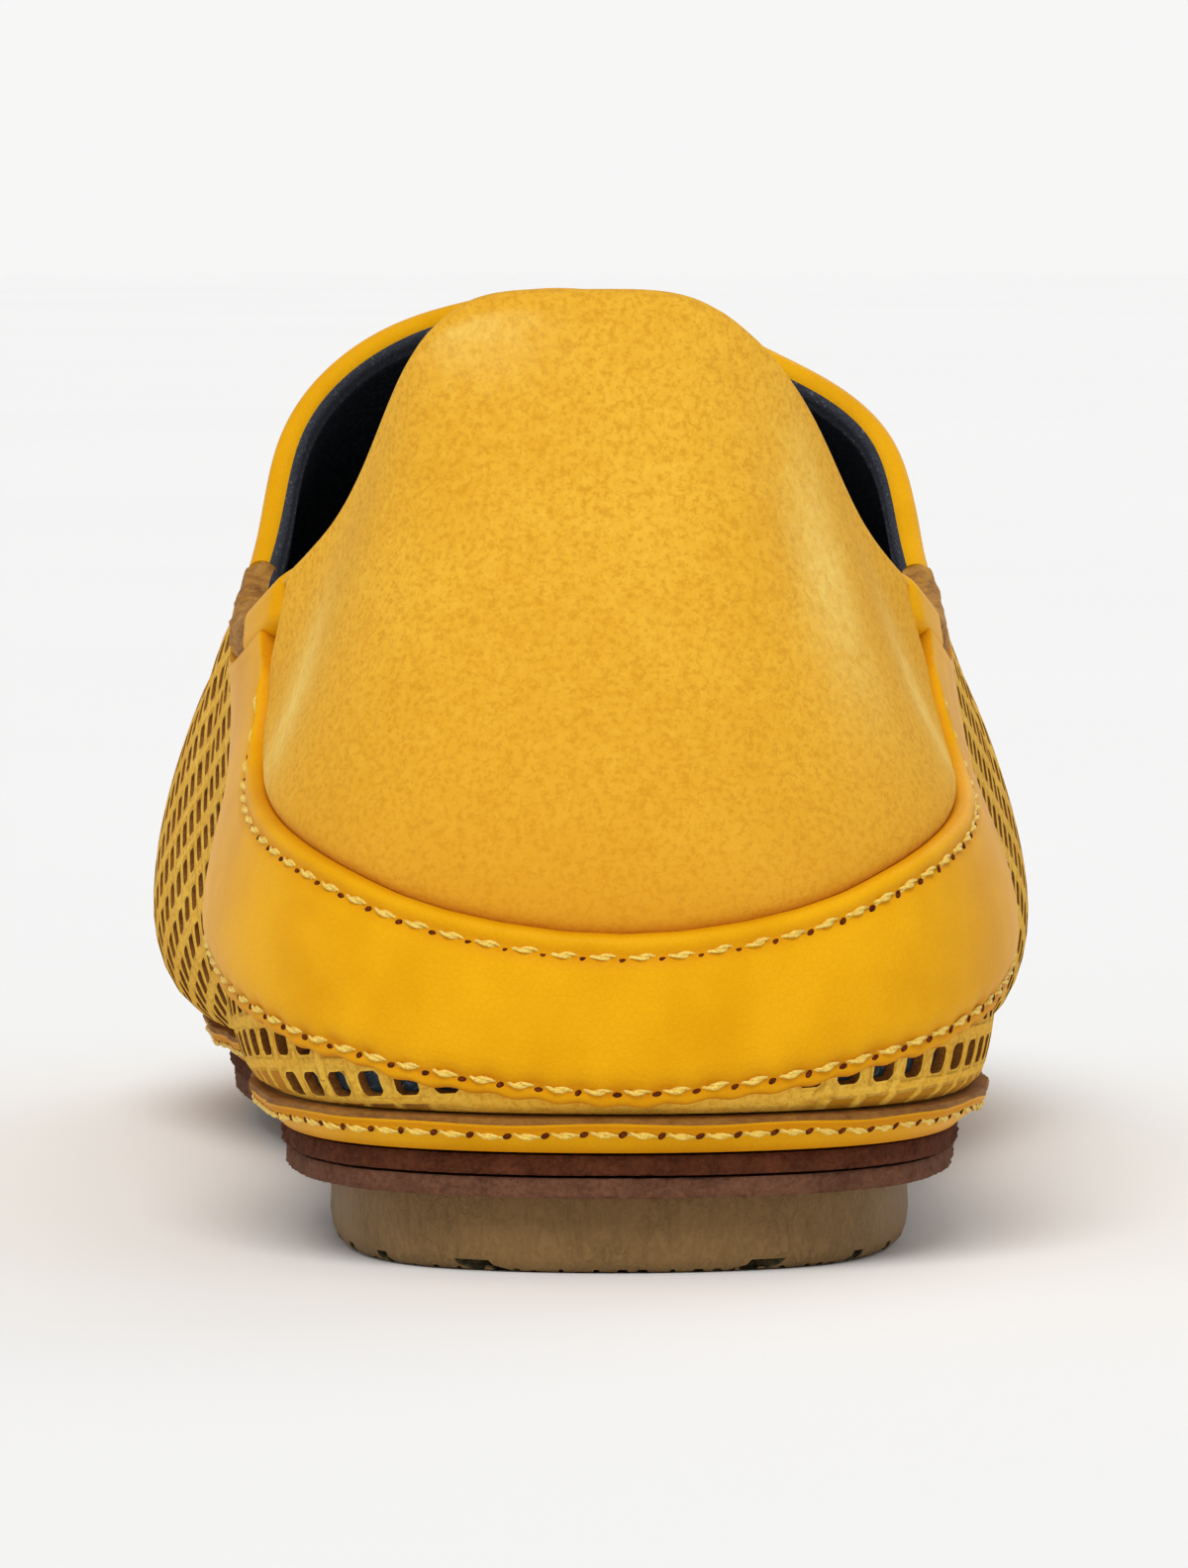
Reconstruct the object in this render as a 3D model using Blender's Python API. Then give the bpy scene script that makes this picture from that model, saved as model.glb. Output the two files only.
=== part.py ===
"""A right-foot slip-on loafer with a step-down back, as separate closed solids in metres, +Z up.

The heel is towards -Y, the toe towards +Y and the outer side of the foot towards +X. Every
piece is worked out from the foot edge, the line where the upper meets the rand, and from ribs
that rise from that line to the topline.
"""

from functools import lru_cache

import bmesh
import bpy
import numpy as np

MM = 0.001

# Overall sizes
LENGTH = 280 * MM
HEEL_SEAT_WIDTH = 71 * MM  # between the foot edges at the heel
BALL_SEAT_WIDTH = 87 * MM  # between the foot edges at the ball
TOPLINE_WIDTH = 72 * MM
BACK_RISE = 79.8 * MM  # back of the topline above the foot edge
SIDE_RISE = 45.3 * MM  # lowest point of the topline above the foot edge
INSTEP_RISE = 78.8 * MM  # top of the throat above the foot edge

# Upper
WALL = 1.8 * MM
OVERHANG = 7.4 * MM  # how far the upper swells past its foot edge at the toe
BELLY = 16 * MM  # height of the widest line above the foot edge
FOXING_WALL = 1.6 * MM
PANEL_WALL = 1.0 * MM
BINDING_WALL = 1.3 * MM
COLLAR_EDGE_WALL = 1.5 * MM
BINDING_WIDTH = 6 * MM
COLLAR_EDGE_WIDTH = 3.6 * MM
INNER_TURN = 3.5 * MM  # how far each turned edge comes down inside
HOLE = 3.0 * MM
HOLE_PITCH = 4.3 * MM
HOLE_ROWS = 3
FIRST_HOLE_ROW = 4.6 * MM  # up the wall from the foot edge
HOLE_MARGIN = 0.8 * MM  # between the holes and the foxing

# Sole
HEEL_HEIGHT = 8 * MM
HEEL_LENGTH = 62 * MM
PAD_THICKNESS = 4 * MM
OUTSOLE_THICKNESS = 2.0 * MM
MIDSOLE_THICKNESS = 2.0 * MM
RAND_THICKNESS = 3.7 * MM
RAND_WIDTH = 8 * MM
RAND_FLARE = 2.6 * MM
RAND_LIP = 1.4 * MM  # how far the rand's top edge stands past the foot edge
INSOLE_THICKNESS = 2.5 * MM
INSOLE_RIM = 1.7 * MM  # height of the insole's upright rim
INSOLE_BEVEL = 0.9 * MM
LEATHER_INSET = 2.2 * MM
LEATHER_STEP = 0.4 * MM  # the upper leather layer stands out past the lower one
TREAD_INSET = 4.5 * MM  # rubber behind the leather's edge
HEEL_ROUNDING = 2.2 * MM
HEEL_CHAMFER = 1.0 * MM
HEEL_SIDE = 3.0 * MM  # where the heel's side starts to rise straight
PAD_ROUNDING = 1.4 * MM
PAD_CHAMFER = 1.2 * MM
PAD_START = 118 * MM
FLAT_START = 160 * MM
FLAT_END = 206 * MM
TOE_SPRING = 8 * MM
ARCH_RISE = 1.5 * MM
GROOVE_WIDTH = 1.8 * MM
GROOVE_DEPTH = 1.2 * MM
GROOVE_PITCH = 9 * MM
HEEL_GROOVES_START = 14 * MM
PAD_GROOVES_START = 124 * MM
PAD_GROOVES_END = 246 * MM
GAP = 0.3 * MM
SKIN_GAP = 0.5 * MM  # under the curved overlays, whose facets cut the wall's corners

# Foot edge seen from above, round the shoe from the back by way of the outer side.
# along: share of the length; heel, ball: shares of half the two seat widths
FOOT_EDGE = (
    # place, along, heel, ball
    ("back", 0.012, 0.02, 0.00),
    ("outer back corner", 0.048, 0.75, 0.00),
    ("outer heel", 0.155, 1.05, 0.00),
    ("outer heel front", 0.300, 0.74, 0.24),
    ("outer waist", 0.450, 0.32, 0.61),
    ("outer ball", 0.615, 0.00, 1.00),
    ("outer toe", 0.775, 0.00, 0.91),
    ("outer toe corner", 0.905, 0.00, 0.57),
    ("toe", 0.974, 0.00, -0.08),
    ("inner toe corner", 0.915, 0.00, -0.66),
    ("inner toe", 0.800, 0.00, -0.92),
    ("inner ball", 0.680, 0.00, -0.975),
    ("inner waist", 0.520, -0.18, -0.70),
    ("inner arch", 0.385, -0.50, -0.34),
    ("inner heel front", 0.260, -0.84, -0.10),
    ("inner heel", 0.150, -0.98, 0.00),
    ("inner back corner", 0.048, -0.71, 0.00),
)

# Topline, by the share of the way round the foot edge at which its rib starts.
# along: share of the length; out: share of half the topline's width;
# back, instep: shares of what the back and the instep rise above the sides
TOPLINE = (
    # round, along, out, back, instep
    (0.000, 0.075, -0.07, 1.00, 0.00),
    (0.027, 0.079, 0.25, 0.965, 0.00),
    (0.055, 0.100, 0.485, 0.735, 0.00),
    (0.095, 0.140, 0.68, 0.34, 0.00),
    (0.122, 0.172, 0.82, 0.155, 0.00),
    (0.150, 0.214, 0.91, 0.04, 0.00),
    (0.180, 0.268, 0.96, 0.00, 0.00),
    (0.218, 0.318, 0.92, 0.00, 0.21),
    (0.258, 0.350, 0.85, 0.00, 0.53),
    (0.315, 0.382, 0.55, 0.00, 0.785),
    (0.400, 0.409, 0.27, 0.00, 0.925),
    (0.506, 0.421, -0.08, 0.00, 1.00),
    (0.605, 0.412, -0.40, 0.00, 0.955),
    (0.675, 0.388, -0.69, 0.00, 0.835),
    (0.738, 0.350, -0.92, 0.00, 0.54),
    (0.782, 0.318, -0.985, 0.00, 0.22),
    (0.820, 0.268, -1.04, 0.00, 0.00),
    (0.850, 0.214, -0.985, 0.04, 0.00),
    (0.878, 0.172, -0.885, 0.165, 0.00),
    (0.905, 0.140, -0.73, 0.36, 0.00),
    (0.945, 0.100, -0.57, 0.735, 0.00),
    (0.973, 0.079, -0.40, 0.965, 0.00),
)

# Section of the upper, by the share of the way round.
# swell, belly: shares of OVERHANG and BELLY; lift: how far the wall stands straight up, and
# reach, drop: how far the curve is drawn out below the topline, as shares of what is left
SECTIONS = (
    # round, swell, belly, lift, reach, drop
    (0.000, 0.46, 0.75, 0.25, 0.30, 0.45),
    (0.060, 0.46, 0.85, 0.25, 0.26, 0.45),
    (0.130, 0.30, 1.00, 0.25, 0.30, 0.45),
    (0.220, 0.62, 0.90, 0.24, 0.40, 0.45),
    (0.310, 0.90, 0.78, 0.20, 0.62, 0.38),
    (0.400, 0.94, 0.70, 0.34, 0.66, 0.62),
    (0.506, 0.94, 0.60, 0.42, 0.66, 0.82),
    (0.600, 0.94, 0.70, 0.36, 0.66, 0.66),
    (0.680, 0.97, 0.78, 0.20, 0.62, 0.40),
    (0.770, 0.70, 0.90, 0.24, 0.40, 0.45),
    (0.870, 0.64, 1.00, 0.25, 0.30, 0.45),
    (0.940, 0.50, 0.85, 0.25, 0.26, 0.45),
)

# Foxing on one side, from the back to its front end; the other side mirrors it.
# round: share of the way round; low, high: shares of SIDE_RISE above the foot edge
FOXING = (
    # round, low, high
    (0.000, 0.050, 0.385),
    (0.025, 0.080, 0.435),
    (0.050, 0.135, 0.555),
    (0.075, 0.200, 0.635),
    (0.095, 0.250, 0.685),
    (0.108, 0.275, 0.745),
    (0.117, 0.290, 0.83),
    (0.123, 0.310, 1.00),
    (0.130, 0.325, 1.02),
    (0.150, 0.380, 1.02),
    (0.160, 0.490, 1.02),
    (0.170, 0.610, 1.02),
    (0.185, 0.800, 1.03),
    (0.198, 0.910, 1.08),
)
# Height of the foxing across its width, from its lower edge, as shares of FOXING_WALL
FOXING_CROWN = (0.55, 0.95, 1, 1, 1, 0.7)
# Outside of the rand from its foot up, as shares of RAND_FLARE and RAND_THICKNESS
RAND_PROFILE = (
    # out, up
    (0.00, 0.00),
    (0.65, 0.45),
    (1.00, 0.80),
    (1.00, 1.00),
)
# Shares of the way round, from the back, where pieces stop on each side
PANEL_END = 0.122
COLLAR_EDGE_END = 0.208
HOLES_START = 0.045
HOLES_END = 0.185


def closed_spline(knots, values, at):
    """A smooth curve of period 1 through (knots, values), read at the shares in at."""
    knots, values = np.asarray(knots, float), np.asarray(values, float)
    count = len(knots)
    step = np.diff(np.append(knots, knots[0] + 1))
    slope = (np.roll(values, -1) - values) / step
    matrix = np.zeros((count, count))
    for row in range(count):
        before = row - 1
        matrix[row, before] += step[before]
        matrix[row, row] += 2 * (step[before] + step[row])
        matrix[row, (row + 1) % count] += step[row]
    bend = np.linalg.solve(matrix, 6 * (slope - np.roll(slope, 1)))
    at = (np.asarray(at, float) - knots[0]) % 1 + knots[0]
    start = np.clip(np.searchsorted(knots, at, side="right") - 1, 0, count - 1)
    end, width = (start + 1) % count, step[start]
    right = (at - knots[start]) / width
    left = 1 - right
    return (
        left * values[start]
        + right * values[end]
        + ((left**3 - left) * bend[start] + (right**3 - right) * bend[end]) * width**2 / 6
    )


def foot_edge_knots():
    rows = np.array([row[1:] for row in FOOT_EDGE])
    out = rows[:, 1] * HEEL_SEAT_WIDTH / 2 + rows[:, 2] * BALL_SEAT_WIDTH / 2
    points = np.stack([out, rows[:, 0] * LENGTH], axis=1)
    reach = np.linalg.norm(np.roll(points, -1, axis=0) - points, axis=1)
    return np.concatenate([[0], np.cumsum(reach)[:-1]]) / reach.sum(), points, reach.sum()


EDGE_KNOTS, EDGE_POINTS, EDGE_LENGTH = foot_edge_knots()
SEAM = 2 * GAP / EDGE_LENGTH
TOE_LINE = EDGE_POINTS[:, 1].max()


def foot_edge(share, inset=0.0):
    """The foot edge in plan, drawn in by inset, at a share of the way round."""
    share = np.asarray(share, float)
    nudge = 1e-4

    def at(shares):
        axes = [closed_spline(EDGE_KNOTS, EDGE_POINTS[:, axis], shares) for axis in (0, 1)]
        return np.stack(axes, axis=-1)

    along = at(share + nudge) - at(share - nudge)
    along /= np.linalg.norm(along, axis=-1, keepdims=True)
    outward = np.stack([along[..., 1], -along[..., 0]], axis=-1)
    return at(share) - outward * inset


def sole_line(y):
    """Height of the leather's underside: level at the heel and the ball, rising at the toe."""
    y = np.asarray(y, float)
    waist = np.clip((y - HEEL_LENGTH) / (FLAT_START - HEEL_LENGTH), 0, 1)
    down = waist * waist * (3 - 2 * waist)
    toe = np.clip((y - FLAT_END) / (TOE_LINE - FLAT_END), 0, None)
    arch = ARCH_RISE * np.sin(np.pi * waist) ** 2
    return HEEL_HEIGHT + (PAD_THICKNESS - HEEL_HEIGHT) * down + arch + TOE_SPRING * toe**2


OUTSOLE_TOP = OUTSOLE_THICKNESS
MIDSOLE_BOTTOM = OUTSOLE_TOP + GAP
MIDSOLE_TOP = MIDSOLE_BOTTOM + MIDSOLE_THICKNESS
RAND_BOTTOM = MIDSOLE_TOP + GAP
RAND_TOP = RAND_BOTTOM + RAND_THICKNESS
UPPER_BOTTOM = RAND_TOP + GAP
SEAT_LEVEL = HEEL_HEIGHT + UPPER_BOTTOM


def column(table, shares, number):
    return closed_spline([row[0] for row in table], [row[number] for row in table], shares)


def topline(share):
    along, out, back, instep = (float(column(TOPLINE, share, n)) for n in (1, 2, 3, 4))
    rise = SIDE_RISE + back * (BACK_RISE - SIDE_RISE) + instep * (INSTEP_RISE - SIDE_RISE)
    return np.array([out * TOPLINE_WIDTH / 2, along * LENGTH, SEAT_LEVEL + rise])


ROWS = (0, 0.05, 0.11, 0.19, 0.29, 0.41, 0.54, 0.68, 0.84, 1)  # shares of the way up a rib


def rib(share):
    """Points up the outside of the upper, from the foot edge to the topline, and their run."""
    return rib_at(round(share % 1, 7))


@lru_cache(maxsize=None)
def rib_at(share):
    swell, belly, lift, reach, drop = (float(column(SECTIONS, share, n)) for n in range(1, 6))
    foot, wide = foot_edge(share), foot_edge(share, -swell * OVERHANG)
    low = float(sole_line(foot[1])) + UPPER_BOTTOM
    turn = np.linspace(0, np.pi / 2, 9)[:, None]
    plan = foot + (wide - foot) * np.sin(turn)
    height = low + belly * BELLY * (1 - np.cos(turn))
    under = np.concatenate([plan, height], axis=1)
    top, start = topline(share), under[-1]
    climb = top[2] - start[2]
    first = start + np.array([0, 0, lift * climb])
    second = top + np.append((start - top)[:2] * reach, -drop * climb)
    t = np.linspace(0, 1, 33)[1:, None]
    over = (
        (1 - t) ** 3 * start
        + 3 * (1 - t) ** 2 * t * first
        + 3 * (1 - t) * t**2 * second
        + t**3 * top
    )
    curve = np.concatenate([under, over])
    run = run_along(curve)
    rows = np.array(ROWS) * run[-1]
    points = np.stack([np.interp(rows, run, curve[:, axis]) for axis in range(3)], axis=1)
    return points, run_along(points)


def run_along(points):
    """Distance from the first point to each, by way of those between."""
    return np.concatenate([[0], np.cumsum(np.linalg.norm(np.diff(points, axis=0), axis=1))])


def rib_length(share):
    return rib(share)[1][-1]


def up_to(share, height):
    """Distance up the wall, at a share of the way round, of a height above the foot edge."""
    points, run = rib(share)
    return float(np.interp(points[0][2] + height, points[:, 2], run))


def on_wall(share, distance):
    points, run = rib(share)
    return np.array([np.interp(distance, run, points[:, axis]) for axis in range(3)])


def skin(share, distance, lift=0.0):
    """A point on the upper, a distance up its wall, moved outward by lift."""
    nudge, step = 0.002, 0.004
    whole = rib_length(share)
    part = min(max(distance / whole, step), 1 - step)
    before, after = (on_wall(s, part * rib_length(s)) for s in (share - nudge, share + nudge))
    below, above = (on_wall(share, (part + d) * whole) for d in (-step, step))
    normal = np.cross(after - before, above - below)
    normal /= np.linalg.norm(normal)
    return on_wall(share, distance) + normal * lift


def past_top(share, distance, lift):
    """As skin, for a place past the topline, in the direction that the wall has there."""
    whole = rib_length(share)
    end = on_wall(share, whole)
    way = end - on_wall(share, whole - WALL)
    way /= np.linalg.norm(way)
    return skin(share, whole, lift) + way * distance


def solid(name, points, faces, material):
    """A named object from points and faces, with its faces pointing out."""
    mesh = bpy.data.meshes.new(name)
    mesh.from_pydata([tuple(map(float, p)) for p in points], [], faces)
    shape = bmesh.new()
    shape.from_mesh(mesh)
    bmesh.ops.recalc_face_normals(shape, faces=shape.faces)
    bmesh.ops.triangulate(shape, faces=shape.faces)
    shape.to_mesh(mesh)
    shape.free()
    mesh.shade_smooth()
    mesh.set_sharp_from_angle(angle=np.radians(35))
    piece = bpy.data.objects.new(name, mesh)
    bpy.context.scene.collection.objects.link(piece)
    if material:
        mesh.materials.append(material)
    return piece


def tube(name, sections, closed, material):
    """A solid through sections of equally many points, closed round or with flat ends."""
    rows, across = len(sections), len(sections[0])
    points = [point for section in sections for point in section]
    faces = []
    for row in range(rows if closed else rows - 1):
        here, there = row * across, (row + 1) % rows * across
        for i in range(across):
            j = (i + 1) % across
            faces.append((here + i, here + j, there + j, there + i))
    if not closed:
        faces.append(tuple(range(across)))
        faces.append(tuple((rows - 1) * across + i for i in range(across)))
    return solid(name, points, faces, material)


def layered(name, loops, material):
    """A solid of loops laid one on another, capped by strips from side to side."""
    count = len(loops[0])
    points = [point for loop in loops for point in loop]
    faces = []
    for level in range(len(loops) - 1):
        low, high = level * count, (level + 1) * count
        for i in range(count):
            j = (i + 1) % count
            faces.append((low + i, low + j, high + j, high + i))
    for start in (0, (len(loops) - 1) * count):
        for i in range(count // 2):
            left, right = start + i, start + (count - i) % count
            next_left, next_right = start + i + 1, start + count - i - 1
            corners = dict.fromkeys((left, next_left, next_right, right))
            if len(corners) > 2:
                faces.append(tuple(corners))
    return solid(name, points, faces, material)


AROUND = 64
CROWDING = 0.35  # how much closer the ribs stand at the heel and toe than on average
EVEN = np.arange(-AROUND, 2 * AROUND) / AROUND
RIB_SHARES = EVEN - CROWDING * np.sin(4 * np.pi * EVEN) / (4 * np.pi)
SHARES = RIB_SHARES[AROUND : 2 * AROUND]


def stations(start, end):
    """The shares from start to end at which the upper has its own ribs, with both ends."""
    margin = 1e-3
    inside = RIB_SHARES[(RIB_SHARES > start + margin) & (RIB_SHARES < end - margin)]
    return [start, *inside, end]


def along_ribs(section, start, end):
    """Sections at the upper's ribs from start to end; an end between two ribs lies straight between."""
    sections = []
    for share in stations(start, end):
        after = int(np.searchsorted(RIB_SHARES, share))
        left, right = RIB_SHARES[after - 1], RIB_SHARES[after]
        part = (share - left) / (right - left)
        points = np.array(section(right, share)) * part
        if part < 1:
            points += np.array(section(left, share)) * (1 - part)
        sections.append(points)
    return sections


def edge_loop(inset, level):
    """A closed loop drawn in from the foot edge, at a height above the sole line."""
    plan = foot_edge(SHARES, inset)
    return [(x, y, z) for (x, y), z in zip(plan, sole_line(plan[:, 1]) + level)]


def finish(name, colour, roughness):
    material = bpy.data.materials.new(name)
    material.use_nodes = True
    surface = material.node_tree.nodes["Principled BSDF"]
    surface.inputs["Base Color"].default_value = (*colour, 1)
    surface.inputs["Roughness"].default_value = roughness
    surface.inputs["Metallic"].default_value = 0
    return material


def make_upper(material):
    """One hollow wall, open at the collar and underneath."""
    sections = []
    for share in SHARES:
        places = rib(share)[1]
        outside = [skin(share, place) for place in places]
        inside = [skin(share, place, -WALL) for place in places[::-1]]
        sections.append(outside + inside)
    return tube("upper", sections, True, material)


BOX_SIDES = (
    (0, 1, 2, 3),
    (4, 5, 6, 7),
    (0, 1, 5, 4),
    (1, 2, 6, 5),
    (2, 3, 7, 6),
    (3, 0, 4, 7),
)


def cut_with(piece, cutter):
    cutter.hide_render = True
    cutter.display_type = "WIRE"
    cut = piece.modifiers.new("cut", "BOOLEAN")
    cut.operation = "DIFFERENCE"
    cut.solver = "EXACT"
    cut.object = cutter
    return cutter


def cut_holes(upper):
    """Rows of square holes along the low quarters, one pin for each hole."""
    every = np.linspace(0, 1, 721)
    run = run_along(foot_edge(every))
    points, faces = [], []
    half = HOLE / 2
    slack = half / run[-1]
    for side in (1, -1):
        start, end = (np.interp((side * s) % 1, every, run) for s in (HOLES_START, HOLES_END))
        for number in range(int(abs(end - start) // HOLE_PITCH)):
            at = start + side * (number + 0.5) * HOLE_PITCH
            share = float(np.interp(at, run, every))
            for row in range(HOLE_ROWS):
                height = FIRST_HOLE_ROW + row * HOLE_PITCH
                clear = fox_edge(share, 1) - half - HOLE_MARGIN
                if height > clear:
                    continue
                base = len(points)
                for lift in (-2.6 * WALL, 1.4 * WALL):
                    for across, up in ((-1, -1), (1, -1), (1, 1), (-1, 1)):
                        points.append(skin(share + across * slack, height + up * half, lift))
                faces += [tuple(base + corner for corner in side) for side in BOX_SIDES]
    return cut_with(upper, solid("hole_pins", points, faces, None))


def fox_edge(share, number):
    """Distance up the wall of the foxing's lower (1) or upper (2) edge; far up past its ends."""
    away = min(share % 1, 1 - share % 1)
    rounds = [row[0] for row in FOXING]
    if away > rounds[-1]:
        return rib_length(share)
    shares = [row[number] for row in FOXING]
    smoothed = [np.interp(abs(away + shift), rounds, shares) for shift in (-0.008, 0, 0.008)]
    height = float(np.mean(smoothed)) * SIDE_RISE
    limit = rib_length(share) - COLLAR_EDGE_WIDTH - GAP
    edge = up_to(share, height)
    return edge if number == 1 else min(edge, limit)


def make_foxing(material):
    """A band round the heel that lies on the upper and sweeps up to the collar."""

    def section(rib_share, share):
        places = np.linspace(fox_edge(share, 1), fox_edge(share, 2), len(FOXING_CROWN))
        inside = [skin(rib_share, place, SKIN_GAP) for place in places]
        outside = [
            skin(rib_share, place, SKIN_GAP + height * FOXING_WALL)
            for place, height in zip(places, FOXING_CROWN)
        ]
        return outside + inside[::-1]

    end = FOXING[-1][0]
    return tube("foxing", along_ribs(section, -end, end), False, material)


def turned_edge(name, start, end, rows, leg, wall, material):
    """A strip folded over the topline from one share of the way round to another."""

    def section(rib_share, share):
        whole = rib_length(rib_share)
        places = np.linspace(whole - leg(share), whole, rows + 1)[:-1]
        outside = [skin(rib_share, place, SKIN_GAP + wall) for place in places]
        over = [
            past_top(rib_share, 0, SKIN_GAP + wall),
            past_top(rib_share, SKIN_GAP + wall, -WALL / 5),
            past_top(rib_share, SKIN_GAP + wall, -4 * WALL / 5),
            past_top(rib_share, 0, -WALL - SKIN_GAP - wall),
        ]
        turn = whole - INNER_TURN
        inside = [
            skin(rib_share, turn, -WALL - SKIN_GAP - wall),
            skin(rib_share, turn, -WALL - SKIN_GAP),
            past_top(rib_share, SKIN_GAP, -WALL - SKIN_GAP),
            past_top(rib_share, SKIN_GAP, SKIN_GAP),
        ]
        back = [skin(rib_share, place, SKIN_GAP) for place in places[::-1]]
        return outside + over + inside + back

    return tube(name, along_ribs(section, start, end), False, material)


def make_outsole(material):
    loops = [edge_loop(LEATHER_INSET, 0), edge_loop(LEATHER_INSET, OUTSOLE_TOP)]
    return layered("outsole", loops, material)


def make_midsole(material):
    inset = LEATHER_INSET - LEATHER_STEP
    loops = [edge_loop(inset, MIDSOLE_BOTTOM), edge_loop(inset, MIDSOLE_TOP)]
    return layered("midsole", loops, material)


def make_rand(material):
    """A strip round the shoe, flaring out to its top edge."""
    rows = [
        ((1 - out) * RAND_FLARE - RAND_LIP, RAND_BOTTOM + up * RAND_THICKNESS)
        for out, up in RAND_PROFILE
    ]
    rows += [(RAND_WIDTH, RAND_TOP), (RAND_WIDTH, RAND_BOTTOM)]
    loops = [edge_loop(inset, level) for inset, level in rows]
    sections = [list(section) for section in zip(*loops)]
    return tube("rand", sections, True, material)


def make_insole(material):
    """The footbed: its underside fills the rand's ring and its rim lies over the rand."""
    rows = (
        (RAND_WIDTH + GAP, RAND_BOTTOM),
        (RAND_WIDTH + GAP, UPPER_BOTTOM),
        (GAP + WALL, UPPER_BOTTOM),
        (GAP + WALL, UPPER_BOTTOM + INSOLE_RIM),
        (GAP + WALL + INSOLE_BEVEL, UPPER_BOTTOM + INSOLE_THICKNESS),
    )
    return layered("insole", [edge_loop(inset, level) for inset, level in rows], material)


def share_at(y, inset, side):
    """The share of the way round at which the drawn-in edge passes y, on one side."""
    low, high = (0.0, 0.45) if side > 0 else (1.0, 0.55)
    for _ in range(40):
        middle = (low + high) / 2
        if foot_edge(middle, inset)[1] < y:
            low = middle
        else:
            high = middle
    return (low + high) / 2


def make_tread(name, front, line, rows, material):
    """A rubber block under the leather: the heel behind its line, or the forefoot before it."""
    loops = []
    for inset, level in rows:
        inset = inset + LEATHER_INSET + TREAD_INSET
        outer, inner = share_at(line, inset, 1), share_at(line, inset, -1)
        start, end = (inner, outer) if front else (inner - 1, outer)
        shares = np.linspace(start, end, 33)
        plan = foot_edge(shares, inset)
        loops.append([(x, y, level(y)) for x, y in plan])
    count = len(loops[0])
    points = [point for loop in loops for point in loop]
    faces = []
    for level in range(len(loops) - 1):
        low, high = level * count, (level + 1) * count
        for i in range(count):
            j = (i + 1) % count
            faces.append((low + i, low + j, high + j, high + i))
    for start in (0, (len(loops) - 1) * count):
        for i in range(count // 2):
            corners = dict.fromkeys(
                (start + i, start + i + 1, start + count - 2 - i, start + count - 1 - i)
            )
            if len(corners) > 2:
                faces.append(tuple(corners))
    return solid(name, points, faces, material)


def cut_grooves(tread, name, first, last):
    """Shallow grooves across the underside."""
    points, faces = [], []
    half, side = GROOVE_WIDTH / 2, BALL_SEAT_WIDTH
    for middle in np.arange(first, last, GROOVE_PITCH):
        base = len(points)
        for z in (-GROOVE_DEPTH, GROOVE_DEPTH):
            for x, y in ((-side, -half), (side, -half), (side, half), (-side, half)):
                points.append((x, middle + y, z))
        faces += [tuple(base + corner for corner in side) for side in BOX_SIDES]
    return cut_with(tread, solid(name, points, faces, None))


def make_heel(material):
    rows = (
        (HEEL_ROUNDING, lambda y: 0.0),
        (HEEL_ROUNDING / 4, lambda y: HEEL_CHAMFER),
        (0.0, lambda y: HEEL_SIDE),
        (0.0, lambda y: HEEL_HEIGHT - GAP),
    )
    return make_tread("heel", False, HEEL_LENGTH, rows, material)


def make_forefoot(material):
    def under(lift):
        return lambda y: float(sole_line(y)) - PAD_THICKNESS + lift

    rows = (
        (PAD_ROUNDING, under(0.0)),
        (0.0, under(PAD_CHAMFER)),
        (0.0, under(PAD_THICKNESS - GAP)),
    )
    return make_tread("forefoot_tread", True, PAD_START, rows, material)


def main():
    for item in list(bpy.data.objects):
        bpy.data.objects.remove(item, do_unlink=True)
    nubuck = finish("yellow_nubuck", (0.83, 0.51, 0.045), 0.85)
    smooth = finish("yellow_leather", (0.91, 0.40, 0.003), 0.38)
    raw_edge = finish("raw_leather_edge", (0.36, 0.16, 0.05), 0.8)
    brown = finish("brown_leather", (0.16, 0.05, 0.03), 0.75)
    rubber = finish("tan_rubber", (0.27, 0.17, 0.07), 0.7)
    lining = finish("dark_lining", (0.012, 0.018, 0.024), 0.9)

    upper = make_upper(nubuck)
    pieces = [
        upper,
        cut_holes(upper),
        make_foxing(smooth),
        turned_edge("back_panel", -PANEL_END, PANEL_END, 7,
                    lambda s: rib_length(s) - fox_edge(s, 2) - GAP,
                    PANEL_WALL, nubuck),
        turned_edge("throat_binding", COLLAR_EDGE_END + SEAM, 1 - COLLAR_EDGE_END - SEAM, 2,
                    lambda s: BINDING_WIDTH, BINDING_WALL, smooth),
        turned_edge("collar_edge_outer", PANEL_END + SEAM, COLLAR_EDGE_END, 1,
                    lambda s: COLLAR_EDGE_WIDTH, COLLAR_EDGE_WALL, raw_edge),
        turned_edge("collar_edge_inner", -COLLAR_EDGE_END, -PANEL_END - SEAM, 1,
                    lambda s: COLLAR_EDGE_WIDTH, COLLAR_EDGE_WALL, raw_edge),
        make_rand(smooth),
        make_midsole(brown),
        make_outsole(brown),
        make_insole(lining),
    ]
    heel = make_heel(rubber)
    forefoot = make_forefoot(rubber)
    pieces += [
        heel,
        cut_grooves(heel, "heel_groove_bars", HEEL_GROOVES_START, HEEL_LENGTH),
        forefoot,
        cut_grooves(forefoot, "forefoot_groove_bars", PAD_GROOVES_START, PAD_GROOVES_END),
    ]

    # The origin lies on the ground under the middle of the shoe's box.
    corners = np.concatenate(
        [np.array([v.co for v in piece.data.vertices]) for piece in pieces[:1] + pieces[2:12]]
    )
    middle = (corners.min(axis=0) + corners.max(axis=0)) / 2
    shoe = bpy.data.objects.new("loafer", None)
    bpy.context.scene.collection.objects.link(shoe)
    shoe.location = (-float(middle[0]), -float(middle[1]), 0)
    for piece in pieces:
        piece.parent = shoe


main()
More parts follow.
